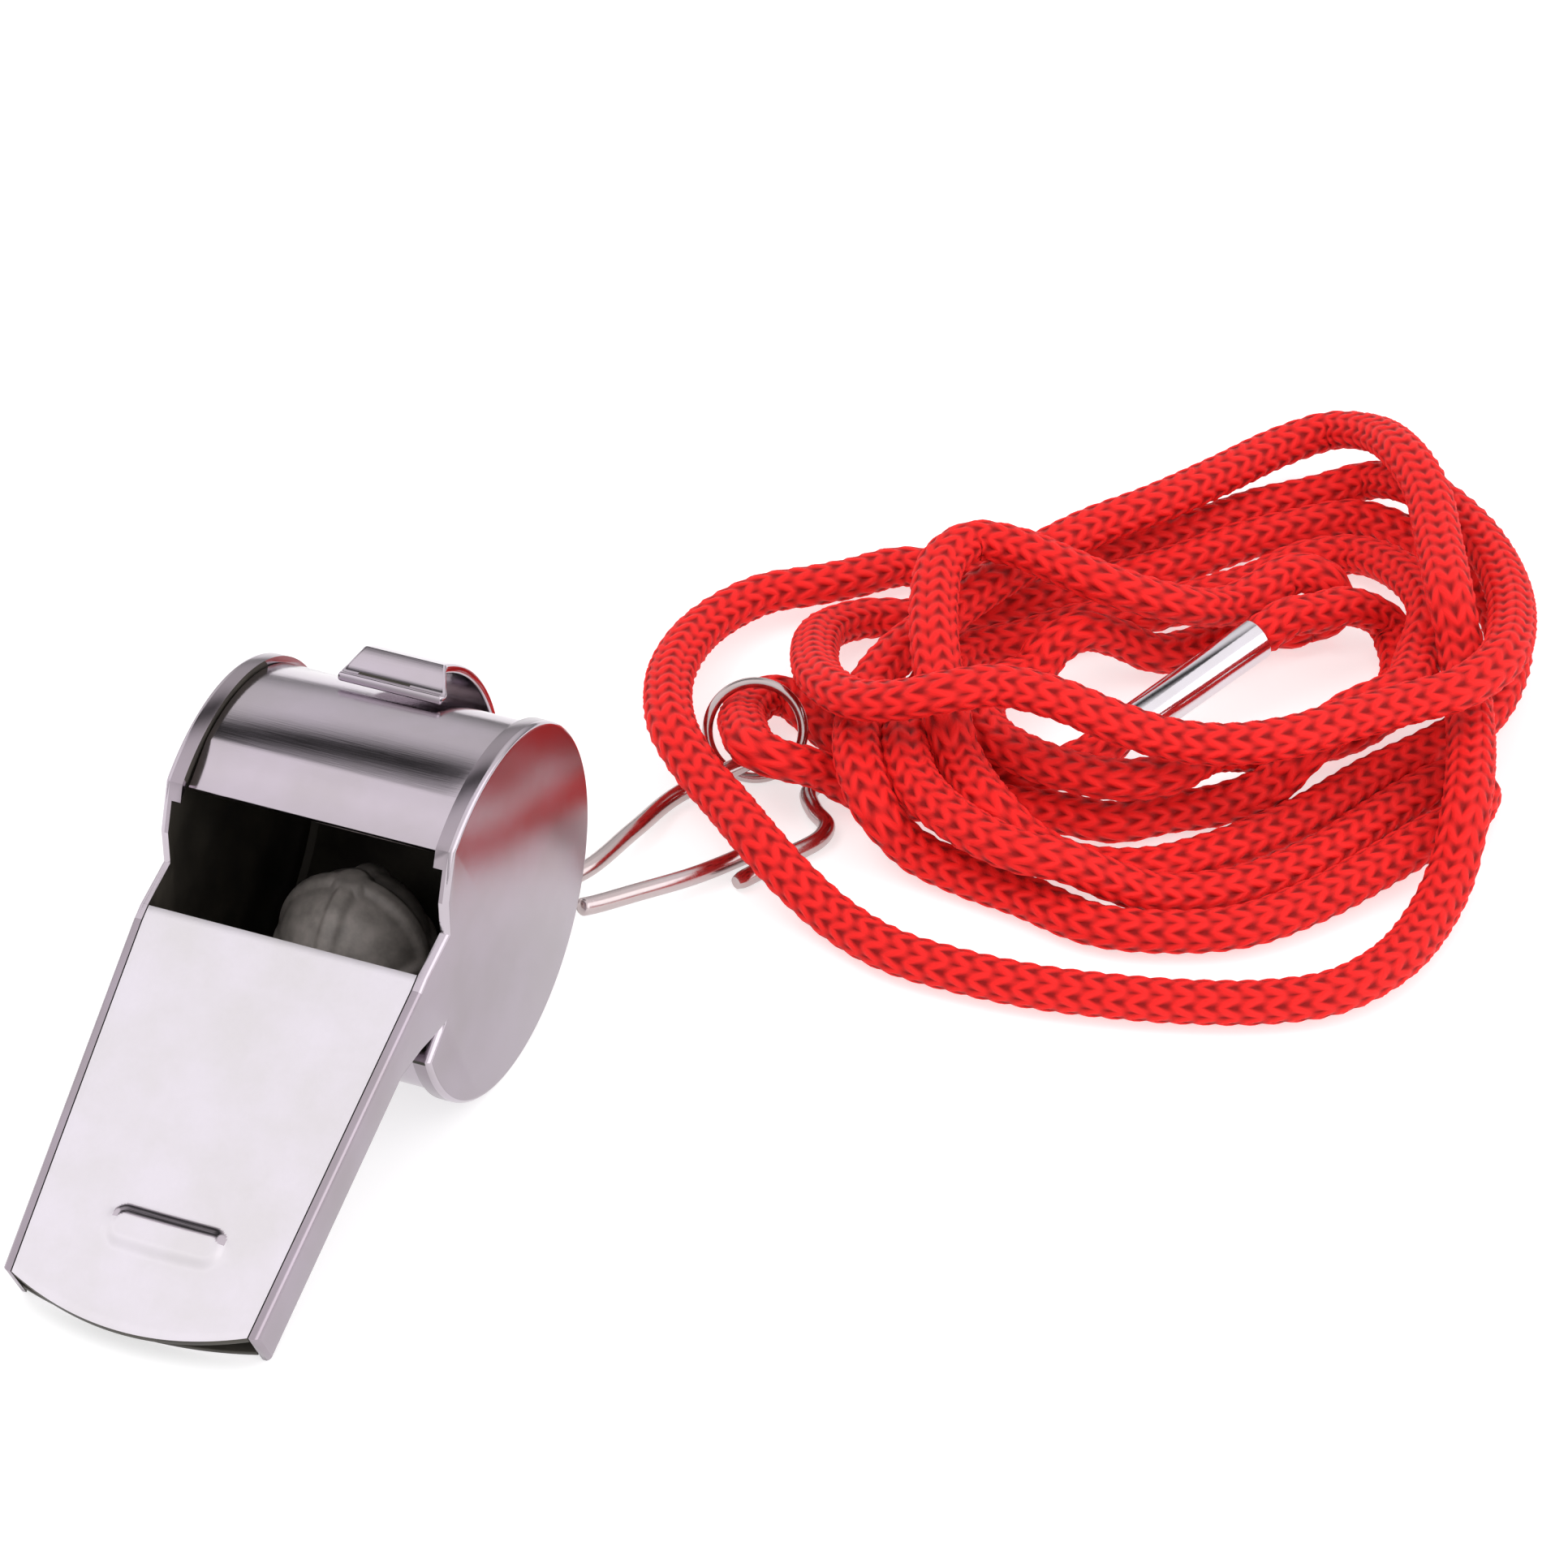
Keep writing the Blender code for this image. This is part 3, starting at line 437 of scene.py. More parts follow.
def plated_finish(name, colour, smooth, rough, grain, grain_along, relief=0.22):
    """Nickel plate: cloudy tint, worn patches of roughness, fine rubbed grain and faint dents."""
    finish = Finish(name)
    place = object_place(finish)
    cloud = finish.noise(place, 180.0, 4.0)
    fine = finish.noise(place, 1500.0, 3.0)
    rubbed = finish.noise(finish.stretched(place, grain_along), 1.0, 2.0, 0.7)
    tint = finish.spread(cloud, 0.35, 0.65)
    colours = finish.blend_colours(
        tint, tinted(colour, (0.95, 0.94, 0.93)), tinted(colour, (1.04, 1.02, 1.05)))
    wear = finish.plus(finish.times(cloud, 0.5), finish.times(rubbed, 0.5))
    finish.set(
        base_color=colours, metallic=1.0,
        roughness=finish.spread(wear, 0.3, 0.7, smooth, rough))
    height = finish.plus(finish.times(rubbed, grain), finish.times(fine, 0.35))
    finish.bump(height, relief, 0.02 * MM)
    return finish.material


def polished_finish():
    return plated_finish(
        "polished_plate", look().polished_colour, 0.10, 0.17, 0.8, (250.0, 9000.0, 9000.0))


def shaded_side_finish():
    # Painted shade: the side plates get the polished plate darkened to 0.70 of its colour
    colour = tinted(look().polished_colour, (0.70, 0.68, 0.69))
    return plated_finish("polished_sides_painted_shade", colour, 0.20, 0.25, 0.3, (900.0, 900.0, 900.0), 0.05)


def ferrule_finish():
    return plated_finish(
        "polished_ferrule", look().satin_colour, 0.10, 0.17, 0.5, (3000.0, 3000.0, 3000.0))


def satin_finish():
    return plated_finish(
        "satin_plate", look().satin_colour, 0.30, 0.42, 1.0, (6000.0, 700.0, 6000.0))


def wire_finish():
    return plated_finish(
        "plated_wire", look().wire_colour, 0.12, 0.28, 0.8, (2500.0, 2500.0, 2500.0))


def inside_shade_finish():
    """Dull metal for the faces inside the drum and the mouth and in the grooves, made near-black as
    painted shade, with random darker patches.
    """
    finish = Finish("dull_inside_shade")
    place = object_place(finish)
    stain = finish.noise(place, 260.0, 4.0)
    colour = look().inside_shade_colour
    finish.set(
        base_color=finish.blend_colours(
            finish.spread(stain, 0.35, 0.7), tinted(colour, (0.4, 0.4, 0.4)), colour),
        metallic=0.6, roughness=finish.spread(stain, 0.3, 0.7, 0.45, 0.65))
    finish.bump(finish.noise(place, 2500.0), 0.2, 0.02 * MM)
    return finish.material


def pea_finish():
    """Moulded plastic with a faint grain, lighter and darker in random patches."""
    finish = Finish("pea_plastic")
    place = object_place(finish)
    grain = finish.noise(place, 900.0, 4.0)
    colour = look().pea_colour
    finish.set(
        base_color=finish.blend_colours(
            finish.spread(grain, 0.3, 0.7), tinted(colour, (0.75, 0.75, 0.72)),
            tinted(colour, (1.3, 1.28, 1.25))),
        roughness=finish.spread(grain, 0.3, 0.7, 0.42, 0.58))
    finish.bump(finish.noise(place, 4200.0), 0.25, 0.03 * MM)
    return finish.material


def yarn_finish():
    """Knitted yarn: V stitches in columns from the UV map, fine twisted strands, and painted shade in the
    holes, the grooves between wales and the lower parts of each stitch.
    """
    finish = Finish("knitted_cord")
    slope = sizes().stitch_slope
    uv = finish.node("ShaderNodeUVMap", uv_map="knit").outputs["UV"]
    parts = finish.node("ShaderNodeSeparateXYZ", {"Vector": uv})
    across, along = parts.outputs["X"], parts.outputs["Y"]
    # Across a wale, side runs from 0 in its middle to 1 at its edges
    side = finish.math("ABSOLUTE", finish.minus(finish.times(finish.math("FRACT", across), 2.0), 1.0))
    turn = finish.minus(along, finish.times(side, slope))
    ridge = finish.plus(finish.times(finish.math("COSINE", finish.times(turn, math.tau)), 0.5), 0.5)
    leg = finish.math("SINE", finish.plus(finish.times(side, LEG_BULGE), LEG_START))
    height = finish.plus(finish.times(ridge, RIDGE_SHARE), finish.times(leg, 1 - RIDGE_SHARE))
    valley = finish.minus(1.0, ridge)
    # Painted shade: hole darkens the holes between stitches and seam the grooves between wales; hole also
    # deepens the bump
    hole = finish.times(finish.spread(side, 0.0, 0.55, 1.0, 0.0), valley)
    seam = finish.times(finish.math("POWER", side, 8.0), valley)
    strand_place = finish.node("ShaderNodeCombineXYZ", {
        "X": finish.times(side, 1.2), "Y": finish.times(turn, 14.0), "Z": finish.math("FLOOR", across)})
    strands = finish.noise(strand_place.outputs["Vector"], 1.0, 2.0)
    fuzz = finish.noise(object_place(finish), 5000.0, 2.0)
    patch = finish.noise(object_place(finish), 160.0, 2.0)
    # Colour share: the stitch's height, as painted shade on its lower parts, less painted shade in holes
    # and grooves, plus random tone from strands and patches
    yarn_tone_and_shade = finish.plus(height, finish.times(finish.minus(strands, 0.5), 0.3))
    yarn_tone_and_shade = finish.plus(yarn_tone_and_shade, finish.times(finish.minus(patch, 0.5), 0.2))
    yarn_tone_and_shade = finish.minus(yarn_tone_and_shade, finish.times(hole, 0.7))
    yarn_tone_and_shade = finish.minus(yarn_tone_and_shade, finish.times(seam, 0.4))
    finish.set(
        base_color=finish.blend_colours(
            finish.spread(yarn_tone_and_shade, -0.20, 0.72), look().yarn_painted_shade, look().yarn_colour),
        roughness=finish.spread(strands, 0.3, 0.7, 0.55, 0.75),
        sheen_weight=0.12, sheen_roughness=0.4, sheen_tint=(1.0, 0.22, 0.2, 1.0))
    finish.shader.inputs["Specular IOR Level"].default_value = 0.22
    relief = finish.plus(height, finish.times(strands, 0.28))
    relief = finish.plus(relief, finish.times(fuzz, 0.10))
    relief = finish.minus(relief, finish.times(hole, 0.5))
    finish.bump(relief, 0.8, 0.2 * MM)
    return finish.material


def floor_finish():
    """Pale light table with a trace of unevenness."""
    finish = Finish("pale_floor")
    cloud = finish.noise(object_place(finish), 30.0)
    finish.set(
        base_color=finish.blend_colours(cloud, (0.52, 0.52, 0.52), (0.55, 0.55, 0.55)),
        roughness=0.9, emission_color=(1.0, 1.0, 1.0, 1.0),
        emission_strength=bpy.context.scene.studio.floor_glow)
    return finish.material


def polar(radius, degrees):
    """Point (y, z) in the whistle's frame, at an angle from straight back towards the top."""
    turn = math.radians(degrees)
    return radius * math.cos(turn), radius * math.sin(turn)


def arc(radius, start, end, step=1.5):
    count = max(2, round(abs(end - start) / step) + 1)
    return [polar(radius, start + (end - start) * i / (count - 1)) for i in range(count)]


def ease(value):
    value = min(1.0, max(0.0, value))
    return value * value * (3 - 2 * value)


def taper(y):
    """How far the sides are drawn in at y, from the window's front edge to the mouth."""
    return max(0.0, (-TAPER_FROM - y) / (MOUTH_LENGTH - TAPER_FROM)) * MOUTH_TAPER


def named_piece(name):
    piece = bpy.context.object
    piece.name = name
    piece.data.name = name
    return piece


def outline_face(name, corners):
    """Flat face with these corners, set out from a filled circle with as many."""
    bpy.ops.mesh.primitive_circle_add(vertices=len(corners), radius=MM, fill_type="NGON")
    piece = named_piece(name)
    for vert, corner in zip(piece.data.vertices, corners):
        vert.co = corner
    return piece


def select_only(piece):
    bpy.ops.object.select_all(action="DESELECT")
    bpy.context.view_layer.objects.active = piece
    piece.select_set(True)


def in_edit_mode(piece, work):
    """Runs a function on the whole piece, selected in edit mode."""
    select_only(piece)
    bpy.ops.object.mode_set(mode="EDIT")
    bpy.ops.mesh.select_all(action="SELECT")
    work()
    bpy.ops.object.mode_set(mode="OBJECT")


def face_outwards(piece):
    def work():
        bpy.ops.mesh.remove_doubles(threshold=0.001 * MM)
        bpy.ops.mesh.normals_make_consistent(inside=False)

    in_edit_mode(piece, work)


def push_out(piece, move, steps=1):
    """Extrudes a flat face into a solid, in equal steps."""
    def work():
        for _ in range(steps):
            bpy.ops.mesh.extrude_region_move(
                TRANSFORM_OT_translate={"value": Vector(move) / steps})

    in_edit_mode(piece, work)
    face_outwards(piece)


def slice_across(piece, y):
    """Parts the faces along a plane across the whistle, with nothing cut away."""
    def work():
        bpy.ops.mesh.bisect(plane_co=(0, y, 0), plane_no=(0, 1, 0))

    in_edit_mode(piece, work)


def round_edges(piece, chosen, width, segments):
    """Bevels the edges whose two ends are both chosen by their place."""
    mesh = piece.data
    bpy.context.tool_settings.mesh_select_mode = (False, True, False)

    def work():
        bpy.ops.mesh.select_all(action="DESELECT")
        bpy.ops.object.mode_set(mode="OBJECT")
        for edge in mesh.edges:
            edge.select = all(chosen(mesh.vertices[i].co) for i in edge.vertices)
        bpy.ops.object.mode_set(mode="EDIT")
        bpy.ops.mesh.bevel(offset=width, segments=segments, profile=0.5, affect="EDGES")

    in_edit_mode(piece, work)


def apply_modifier(piece, kind, **settings):
    step = piece.modifiers.new("step", kind)
    for name, value in settings.items():
        setattr(step, name, value)
    select_only(piece)
    bpy.ops.object.modifier_apply(modifier=step.name)


def soften(piece, width=None, segments=2, angle=40.0):
    """Small rounded edge wherever two faces meet at more than the angle."""
    apply_modifier(
        piece, "BEVEL", width=width or sizes().edge_round, segments=segments, limit_method="ANGLE",
        angle_limit=math.radians(angle), use_clamp_overlap=True)


def cut(piece, tool):
    apply_modifier(piece, "BOOLEAN", operation="DIFFERENCE", solver="EXACT", object=tool)
    bpy.data.objects.remove(tool, do_unlink=True)


def shade(piece, degrees=32.0):
    select_only(piece)
    bpy.ops.object.shade_smooth_by_angle(angle=math.radians(degrees))


def settle(piece, node, body, finishes, place=None):
    """Puts the finished piece in place of its node, with its place in its mesh."""
    if place is not None:
        piece.data.transform(place)
    piece.name = "finished_" + node
    piece.data.name = piece.name
    for finish in finishes:
        piece.data.materials.append(finish)
    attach(piece, body)
    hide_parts(node)


def settle_on_whistle(piece, node, finishes):
    settle(piece, node, "whistle", finishes, WHISTLE_FRAME)


def mark_faces(piece, finish_number, test):
    """Gives another of its finishes to the faces whose centre and normal pass the test."""
    for polygon in piece.data.polygons:
        if test(polygon.center, polygon.normal):
            polygon.material_index = finish_number


def cheek_corners():
    disc = arc(CHEEK_RADIUS, LIP_CORNER_ANGLE, SLIT_MOUTH_ANGLE)
    tail = [(-MOUTH_LENGTH, TAIL_BOTTOM), (-MOUTH_LENGTH, PLATE_TOP), (-PLATE_REAR, PLATE_TOP)]
    return disc + SLIT_CORNERS + tail + NOTCH_CORNERS


def make_cheek():
    """Right side plate: a shallow pressed pan with a rolled rim, a slit and a tail to the mouth."""
    inner = CHEEK_OUTER - RIM_DEPTH
    piece = outline_face("cheek", [(inner, y, z) for y, z in cheek_corners()])
    push_out(piece, X_AXIS * RIM_DEPTH)
    round_edges(piece, lambda co: co.x > CHEEK_OUTER - ON_PLANE / 2, sizes().rim_round, 5)
    slice_across(piece, -TAPER_FROM)
    for vert in piece.data.vertices:
        if vert.co.y < -TAPER_FROM and vert.co.z > SLIT_CORNERS[0][1]:
            vert.co.x -= taper(vert.co.y)
    bpy.ops.mesh.primitive_cylinder_add(
        vertices=240, radius=CHEEK_RADIUS - SHEET, depth=2 * CHEEK_INNER, rotation=(0, math.pi / 2, 0))
    cut(piece, bpy.context.object)
    past = -MOUTH_LENGTH - RIM_DEPTH
    rear = -PLATE_REAR + 3 * GAP
    plan = [
        (0, past), (CHEEK_INNER - taper(past), past), (CHEEK_INNER, -TAPER_FROM), (CHEEK_INNER, rear),
        (0, rear)]
    low = SLIT_CORNERS[0][1]
    tool = outline_face("between_tails", [(x, y, low) for x, y in plan])
    push_out(tool, Vector((0, 0, CHEEK_RADIUS)))
    cut(piece, tool)
    for groove_end in SHADED_RIM_GROOVE:
        slice_across(piece, groove_end)
    soften(piece)
    shade(piece)
    return piece


def shaded_inside_faces(centre, normal):
    """Faces of the side plates that look into the drum or the mouth, the wall inside the rim, and the
    rim's inner edge along the groove at the top, which all get painted shade.
    """
    if centre.y < -PLATE_REAR:
        return normal.x * centre.x < 0 and centre.z < PLATE_TOP - SHEET / 2
    on_rim_edge = abs(abs(centre.x) - CHEEK_OUTER + RIM_DEPTH) < ON_PLANE and normal.x * centre.x < 0
    if on_rim_edge and SHADED_RIM_GROOVE[0] < centre.y < SHADED_RIM_GROOVE[1] and centre.z > 0:
        return True
    radial = math.hypot(centre.y, centre.z)
    off_disc = abs(abs(centre.x) - CHEEK_INNER)
    on_disc = off_disc < ON_PLANE and radial < BAND_INNER and abs(normal.x) > 0.7
    on_wall = off_disc < SHEET and BAND_INNER < radial < BAND_RADIUS and normal.yz.dot(centre.yz) < 0
    return on_disc or on_wall


def rim_painted_highlight(centre, normal):
    """The rim's rounded edge, which keeps the brighter polished plate as a painted highlight against the
    side plates' painted shade.
    """
    return abs(normal.x) < 0.93 and abs(centre.x) > CHEEK_INNER


class OBJECT_OT_whistle_cheeks(bpy.types.Operator):
    """Build the two side plates of the whistle"""
    bl_idname = "object.whistle_cheeks"
    bl_label = "Side Plates"

    def execute(self, context):
        # Side plates: the darkened plate is painted shade, the brighter polish on the rolled rim a painted
        # highlight, the dark inside finish on hidden faces painted shade
        finishes = [shaded_side_finish(), inside_shade_finish(), polished_finish()]
        right = make_cheek()
        left = right.copy()
        left.data = right.data.copy()
        context.scene.collection.objects.link(left)
        left.data.transform(Matrix.Scale(-1, 4, X_AXIS))
        face_outwards(left)
        shade(left)
        for piece, node in ((right, "right_cheek"), (left, "left_cheek")):
            mark_faces(piece, BRIGHT, rim_painted_highlight)
            mark_faces(piece, PAINTED_SHADE, shaded_inside_faces)
            settle_on_whistle(piece, node, finishes)
        return {"FINISHED"}


class OBJECT_OT_whistle_band(bpy.types.Operator):
    """Build the sheet rolled round the drum, with its flat lip over the window"""
    bl_idname = "object.whistle_band"
    bl_label = "Drum Band"

    def execute(self, context):
        floor_edge = -180 - math.degrees(math.asin((FLOOR_BOTTOM - GAP) / BAND_RADIUS))
        lip_y, lip_z = polar(BAND_RADIUS, LIP_ANGLE)
        outer = [(lip_y, lip_z - LIP_DROP)] + arc(BAND_RADIUS, LIP_FLAT_FROM, floor_edge)
        inner = arc(BAND_INNER, floor_edge, LIP_FLAT_FROM) + [(lip_y, lip_z - LIP_DROP - SHEET * 0.8)]
        piece = outline_face("band", [(-BAND_HALF, y, z) for y, z in outer + inner])
        push_out(piece, X_AXIS * 2 * BAND_HALF)
        soften(piece, angle=60.0)
        # Painted shade: the band's inside and its two ends, in the grooves under the rims, get the dark
        # inside finish
        mark_faces(
            piece, PAINTED_SHADE, lambda centre, normal: normal.yz.dot(centre.yz) < 0 or abs(normal.x) > 0.5)
        shade(piece)
        settle_on_whistle(piece, "drum_band", [polished_finish(), inside_shade_finish()])
        return {"FINISHED"}


def crowded(low, high, dense_low, dense_high, sparse_step, dense_step):
    """Cuts from low to high, closer together within the dense stretch."""
    cuts = [low]
    while cuts[-1] < high - 1e-9:
        step = dense_step if dense_low <= cuts[-1] < dense_high else sparse_step
        cuts.append(min(high, cuts[-1] + step))
    return cuts


def plate_half_width(y):
    return CHEEK_INNER - SEAM - taper(y)


def bar_rise(x, y):
    """Height of the pressed bar over the plate, level on top with a soft slope round it."""
    half_run = (BAR_LENGTH - BAR_WIDTH) / 2
    along = max(0.0, abs(x - BAR_AT.x) - half_run)
    outside = math.hypot(along, y - BAR_AT.y)
    return sizes().bar_height * ease((BAR_WIDTH / 2 - outside) / BAR_SLOPE)


def make_top_plate():
    """Top of the mouthpiece: tapered sheet with a bowed front edge and a bar pressed up in it."""
    rear, tip = -PLATE_REAR, -MOUTH_LENGTH
    half = plate_half_width(rear)
    bow_from = BAR_AT.y + BAR_WIDTH
    reach = Vector((BAR_LENGTH / 2 + BAR_MARGIN, BAR_WIDTH / 2 + BAR_MARGIN))
    columns = crowded(
        -half, half, BAR_AT.x - reach.x, BAR_AT.x + reach.x, PLATE_STEPS[0], BAR_STEPS[0])
    rows = crowded(tip, rear, BAR_AT.y - reach.y, BAR_AT.y + reach.y, PLATE_STEPS[1], BAR_STEPS[1])
    bpy.ops.mesh.primitive_grid_add(x_subdivisions=len(columns) - 1, y_subdivisions=len(rows) - 1, size=MM)
    piece = named_piece("top_plate")
    for i, vert in enumerate(piece.data.vertices):
        column, row = i % len(columns), i // len(columns)
        share = columns[column] / half
        x, y = share * plate_half_width(rows[row]), rows[row]
        bow = MOUTH_BOW * (1 - share * share) * (y - rear) / (tip - rear)
        bow *= ease((y - bow_from) / (tip - bow_from))
        vert.co = (x, y - bow, PLATE_TOP + bar_rise(x, y))
    apply_modifier(piece, "SOLIDIFY", thickness=SHEET, offset=-1.0)
    soften(piece, angle=60.0)
    shade(piece, 50.0)
    # Painted shade: the dark inside finish on the plate's underside and edges, and the darker polished
    # plate on the pressed bar's rear slope
    mark_faces(piece, PAINTED_SHADE, lambda centre, normal: normal.z < 0.3)
    mark_faces(piece, BRIGHT, lambda centre, normal: normal.y > 0.12 and centre.z > PLATE_TOP)
    return piece


def make_floor_plate():
    """Floor of the mouthpiece: a tapered sheet that turns up in a ramp to the wind slot."""
    tip = -MOUTH_LENGTH
    ramp_top = PLATE_TOP - SHEET - WIND_SLOT
    ramp_end = -math.sqrt(BAND_INNER ** 2 - ramp_top ** 2)
    top = FLOOR_BOTTOM + FLOOR_SHEET
    bend = -TAPER_FROM - 2 * MM
    side = [
        (RAMP_FOOT, FLOOR_BOTTOM), (ramp_end, ramp_top), (ramp_end - SHEET, ramp_top),
        (RAMP_FOOT - 1.5 * SHEET, top), (bend, top), (tip, top), (tip, FLOOR_BOTTOM), (bend, FLOOR_BOTTOM)]
    piece = outline_face("floor_plate", [(-1.0, y, z) for y, z in side])
    push_out(piece, X_AXIS * 2.0, FLOOR_COLUMNS)
    for vert in piece.data.vertices:
        share = vert.co.x
        if vert.co.y < tip + ON_PLANE:
            vert.co.y -= FLOOR_BOW * (1 - share * share)
        vert.co.x = share * plate_half_width(max(tip, vert.co.y))
    soften(piece, angle=60.0)
    shade(piece)
    # Painted shade: the dark inside finish on the floor plate's top and sides, inside the mouth
    mark_faces(piece, PAINTED_SHADE, lambda centre, normal: normal.z > -0.5)
    return piece


class OBJECT_OT_whistle_mouthpiece(bpy.types.Operator):
    """Build the top and the floor of the mouthpiece"""
    bl_idname = "object.whistle_mouthpiece"
    bl_label = "Mouthpiece"

    def execute(self, context):
        settle_on_whistle(
            make_top_plate(), "mouthpiece_top",
            [satin_finish(), inside_shade_finish(), polished_finish()])
        settle_on_whistle(
            make_floor_plate(), "mouthpiece_floor", [polished_finish(), inside_shade_finish()])
        return {"FINISHED"}


class OBJECT_OT_whistle_strap(bpy.types.Operator):
    """Build the strap behind the drum that holds the clip's wire"""
    bl_idname = "object.whistle_strap"
    bl_label = "Strap"

    def execute(self, context):
        start, end = STRAP_ENDS
        foot = BAND_RADIUS + GAP
        outer, inner = [], []
        for k in range(STRAP_ROWS + 1):
            angle = start + (end - start) * k / STRAP_ROWS
            rise = STRAP_RISE * self.lift(angle)
            inner.append(polar(foot + rise, angle))
            outer.append(polar(foot + rise + SHEET, angle))
        piece = outline_face("strap", [(-1.0, y, z) for y, z in outer + inner[::-1]])
        push_out(piece, X_AXIS * 2.0, STRAP_COLUMNS)
        for vert in piece.data.vertices:
            angle = math.degrees(math.atan2(vert.co.z, vert.co.y))
            width = STRAP_FOOT_WIDTH + (STRAP_WIDTH - STRAP_FOOT_WIDTH) * self.lift(angle)
            vert.co.x *= width / 2
        soften(piece, STRAP_ROUND, 4, 50.0)
        shade(piece)
        # Painted shade: the dark inside finish on a narrow strip along the crease at the front foot
        mark_faces(piece, PAINTED_SHADE, self.in_painted_crease_shade)
        settle_on_whistle(piece, "strap", [polished_finish(), inside_shade_finish()])
        return {"FINISHED"}

    @staticmethod
    def in_painted_crease_shade(centre, normal):
        """Painted shade: a narrow dark strip of the inside finish where the strap rises from its front
        foot.
        """
        before = STRAP_ENDS[0] - math.degrees(math.atan2(centre.z, centre.y))
        low, high = STRAP_CREASE_SHADE
        return low < centre.x < high and abs(before - STRAP_FRONT_ARC) < 0.8

    @staticmethod
    def lift(angle):
        """0 on the feet that lie on the drum, 1 over the wire."""
        start, end = STRAP_ENDS
        front = (start - angle - STRAP_FRONT_ARC) / STRAP_FRONT_RAMP
        front = STRAIGHT_SHARE * max(0.0, min(1.0, front)) + (1 - STRAIGHT_SHARE) * ease(front)
        return min(front, ease((angle - end - STRAP_FOOT_ARC) / STRAP_RAMP))


class OBJECT_OT_whistle_pea(bpy.types.Operator):
    """Build the ribbed pea inside the drum"""
    bl_idname = "object.whistle_pea"
    bl_label = "Pea"

    def execute(self, context):
        bpy.ops.mesh.primitive_uv_sphere_add(segments=160, ring_count=96, radius=PEA_RADIUS)
        piece = named_piece("pea")
        for vert in piece.data.vertices:
            away = vert.co.normalized()
            turn = math.atan2(away.y, away.x) % (math.pi / 2)
            off_rib = min(turn, math.pi / 2 - turn) * PEA_RADIUS * math.hypot(away.x, away.y)
            off_belt = abs(away.z) * PEA_RADIUS
            off_nub = PEA_RADIUS * math.acos(min(1.0, abs(away.z)))
            rib = RIB_HEIGHT * math.exp(-(min(off_rib, off_belt) / RIB_WIDTH) ** 4)
            nub = (PEA_NUB_TOP - PEA_RADIUS) * ease(2.0 - 1.6 * off_nub / NUB_WIDTH)
            vert.co = away * (PEA_RADIUS + max(rib, nub))
        shade(piece, 60.0)
        settle(piece, "pea", "pea", [pea_finish()], Matrix.Translation(PEA_AT))
        return {"FINISHED"}


def in_metres(route):
    """A route that is listed in tenths of a millimetre."""
    return [tuple(part / TENTHS_IN_METRE for part in point) for point in route]


def smooth_line(points, per_span):
    """Centripetal Catmull-Rom curve through the points."""
    points = np.asarray(points, dtype=float)
    padded = np.vstack([2 * points[0] - points[1], points, 2 * points[-1] - points[-2]])
    line = []
    for a, b, c, d in zip(padded, padded[1:], padded[2:], padded[3:]):
        t1 = np.linalg.norm(b - a) ** 0.5
        t2 = t1 + np.linalg.norm(c - b) ** 0.5
        t3 = t2 + np.linalg.norm(d - c) ** 0.5
        for k in range(per_span):
            t = t1 + (t2 - t1) * k / per_span
            ab = (t1 - t) / t1 * a + t / t1 * b
            bc = (t2 - t) / (t2 - t1) * b + (t - t1) / (t2 - t1) * c
            cd = (t3 - t) / (t3 - t2) * c + (t - t2) / (t3 - t2) * d
            abc = (t2 - t) / t2 * ab + t / t2 * bc
            bcd = (t3 - t) / (t3 - t1) * bc + (t - t1) / (t3 - t1) * cd
            line.append((t2 - t) / (t2 - t1) * abc + (t - t1) / (t2 - t1) * bcd)
    line.append(points[-1])
    return np.array(line)


def run_along(line):
    """How far along the line each of its points lies."""
    return np.concatenate([[0.0], np.cumsum(np.linalg.norm(np.diff(line, axis=0), axis=1))])


def even_line(line, count):
    """The same line with its points evenly spaced."""
    run = run_along(line)
    stops = np.linspace(0.0, run[-1], count)
    return np.column_stack([np.interp(stops, run, line[:, k]) for k in range(3)])


def eye_line():
    """The clip's round eye from its left side, up through the strap, down to the waist."""
    down = np.array([0.0, math.sin(EYE_LEAN), -math.cos(EYE_LEAN)])
    across = np.array([1.0, 0.0, 0.0])
    top = np.array(EYE_AT)
    half = EYE_DIAMETER / 2

    def on_round(degrees):
        turn = math.radians(degrees)
        return top + half * (math.sin(turn) * across + (1 + math.cos(turn)) * down)

    left = [on_round(degrees) for degrees in (0, -24, -48, -72, -96, -120, -142)]
    straight = [top + EYE_FLAT * share * across for share in (-0.5, -0.3, 0.0, 0.3, 0.5)]
    right = [on_round(degrees) for degrees in (142, 120, 96, 72)]
    return left + straight + right


def wire_along(name, line):
    """Round wire along a line, drawn in at its two cut ends."""
    curve = bpy.data.curves.new(name, "CURVE")
    curve.dimensions = "3D"
    curve.bevel_depth = WIRE / 2
    curve.bevel_resolution = 6
    curve.use_fill_caps = True
    spline = curve.splines.new("POLY")
    spline.points.add(len(line) - 1)
    for point, place in zip(spline.points, line):
        point.co = (*place, 1.0)
    for index, share in ((0, 0.72), (-1, 0.72), (1, 0.94), (-2, 0.94)):
        spline.points[index].radius = share
    piece = bpy.data.objects.new(name, curve)
    bpy.context.scene.collection.objects.link(piece)
    select_only(piece)
    bpy.ops.object.convert(target="MESH")
    piece = bpy.context.object
    face_outwards(piece)
    shade(piece, 50.0)
    return piece


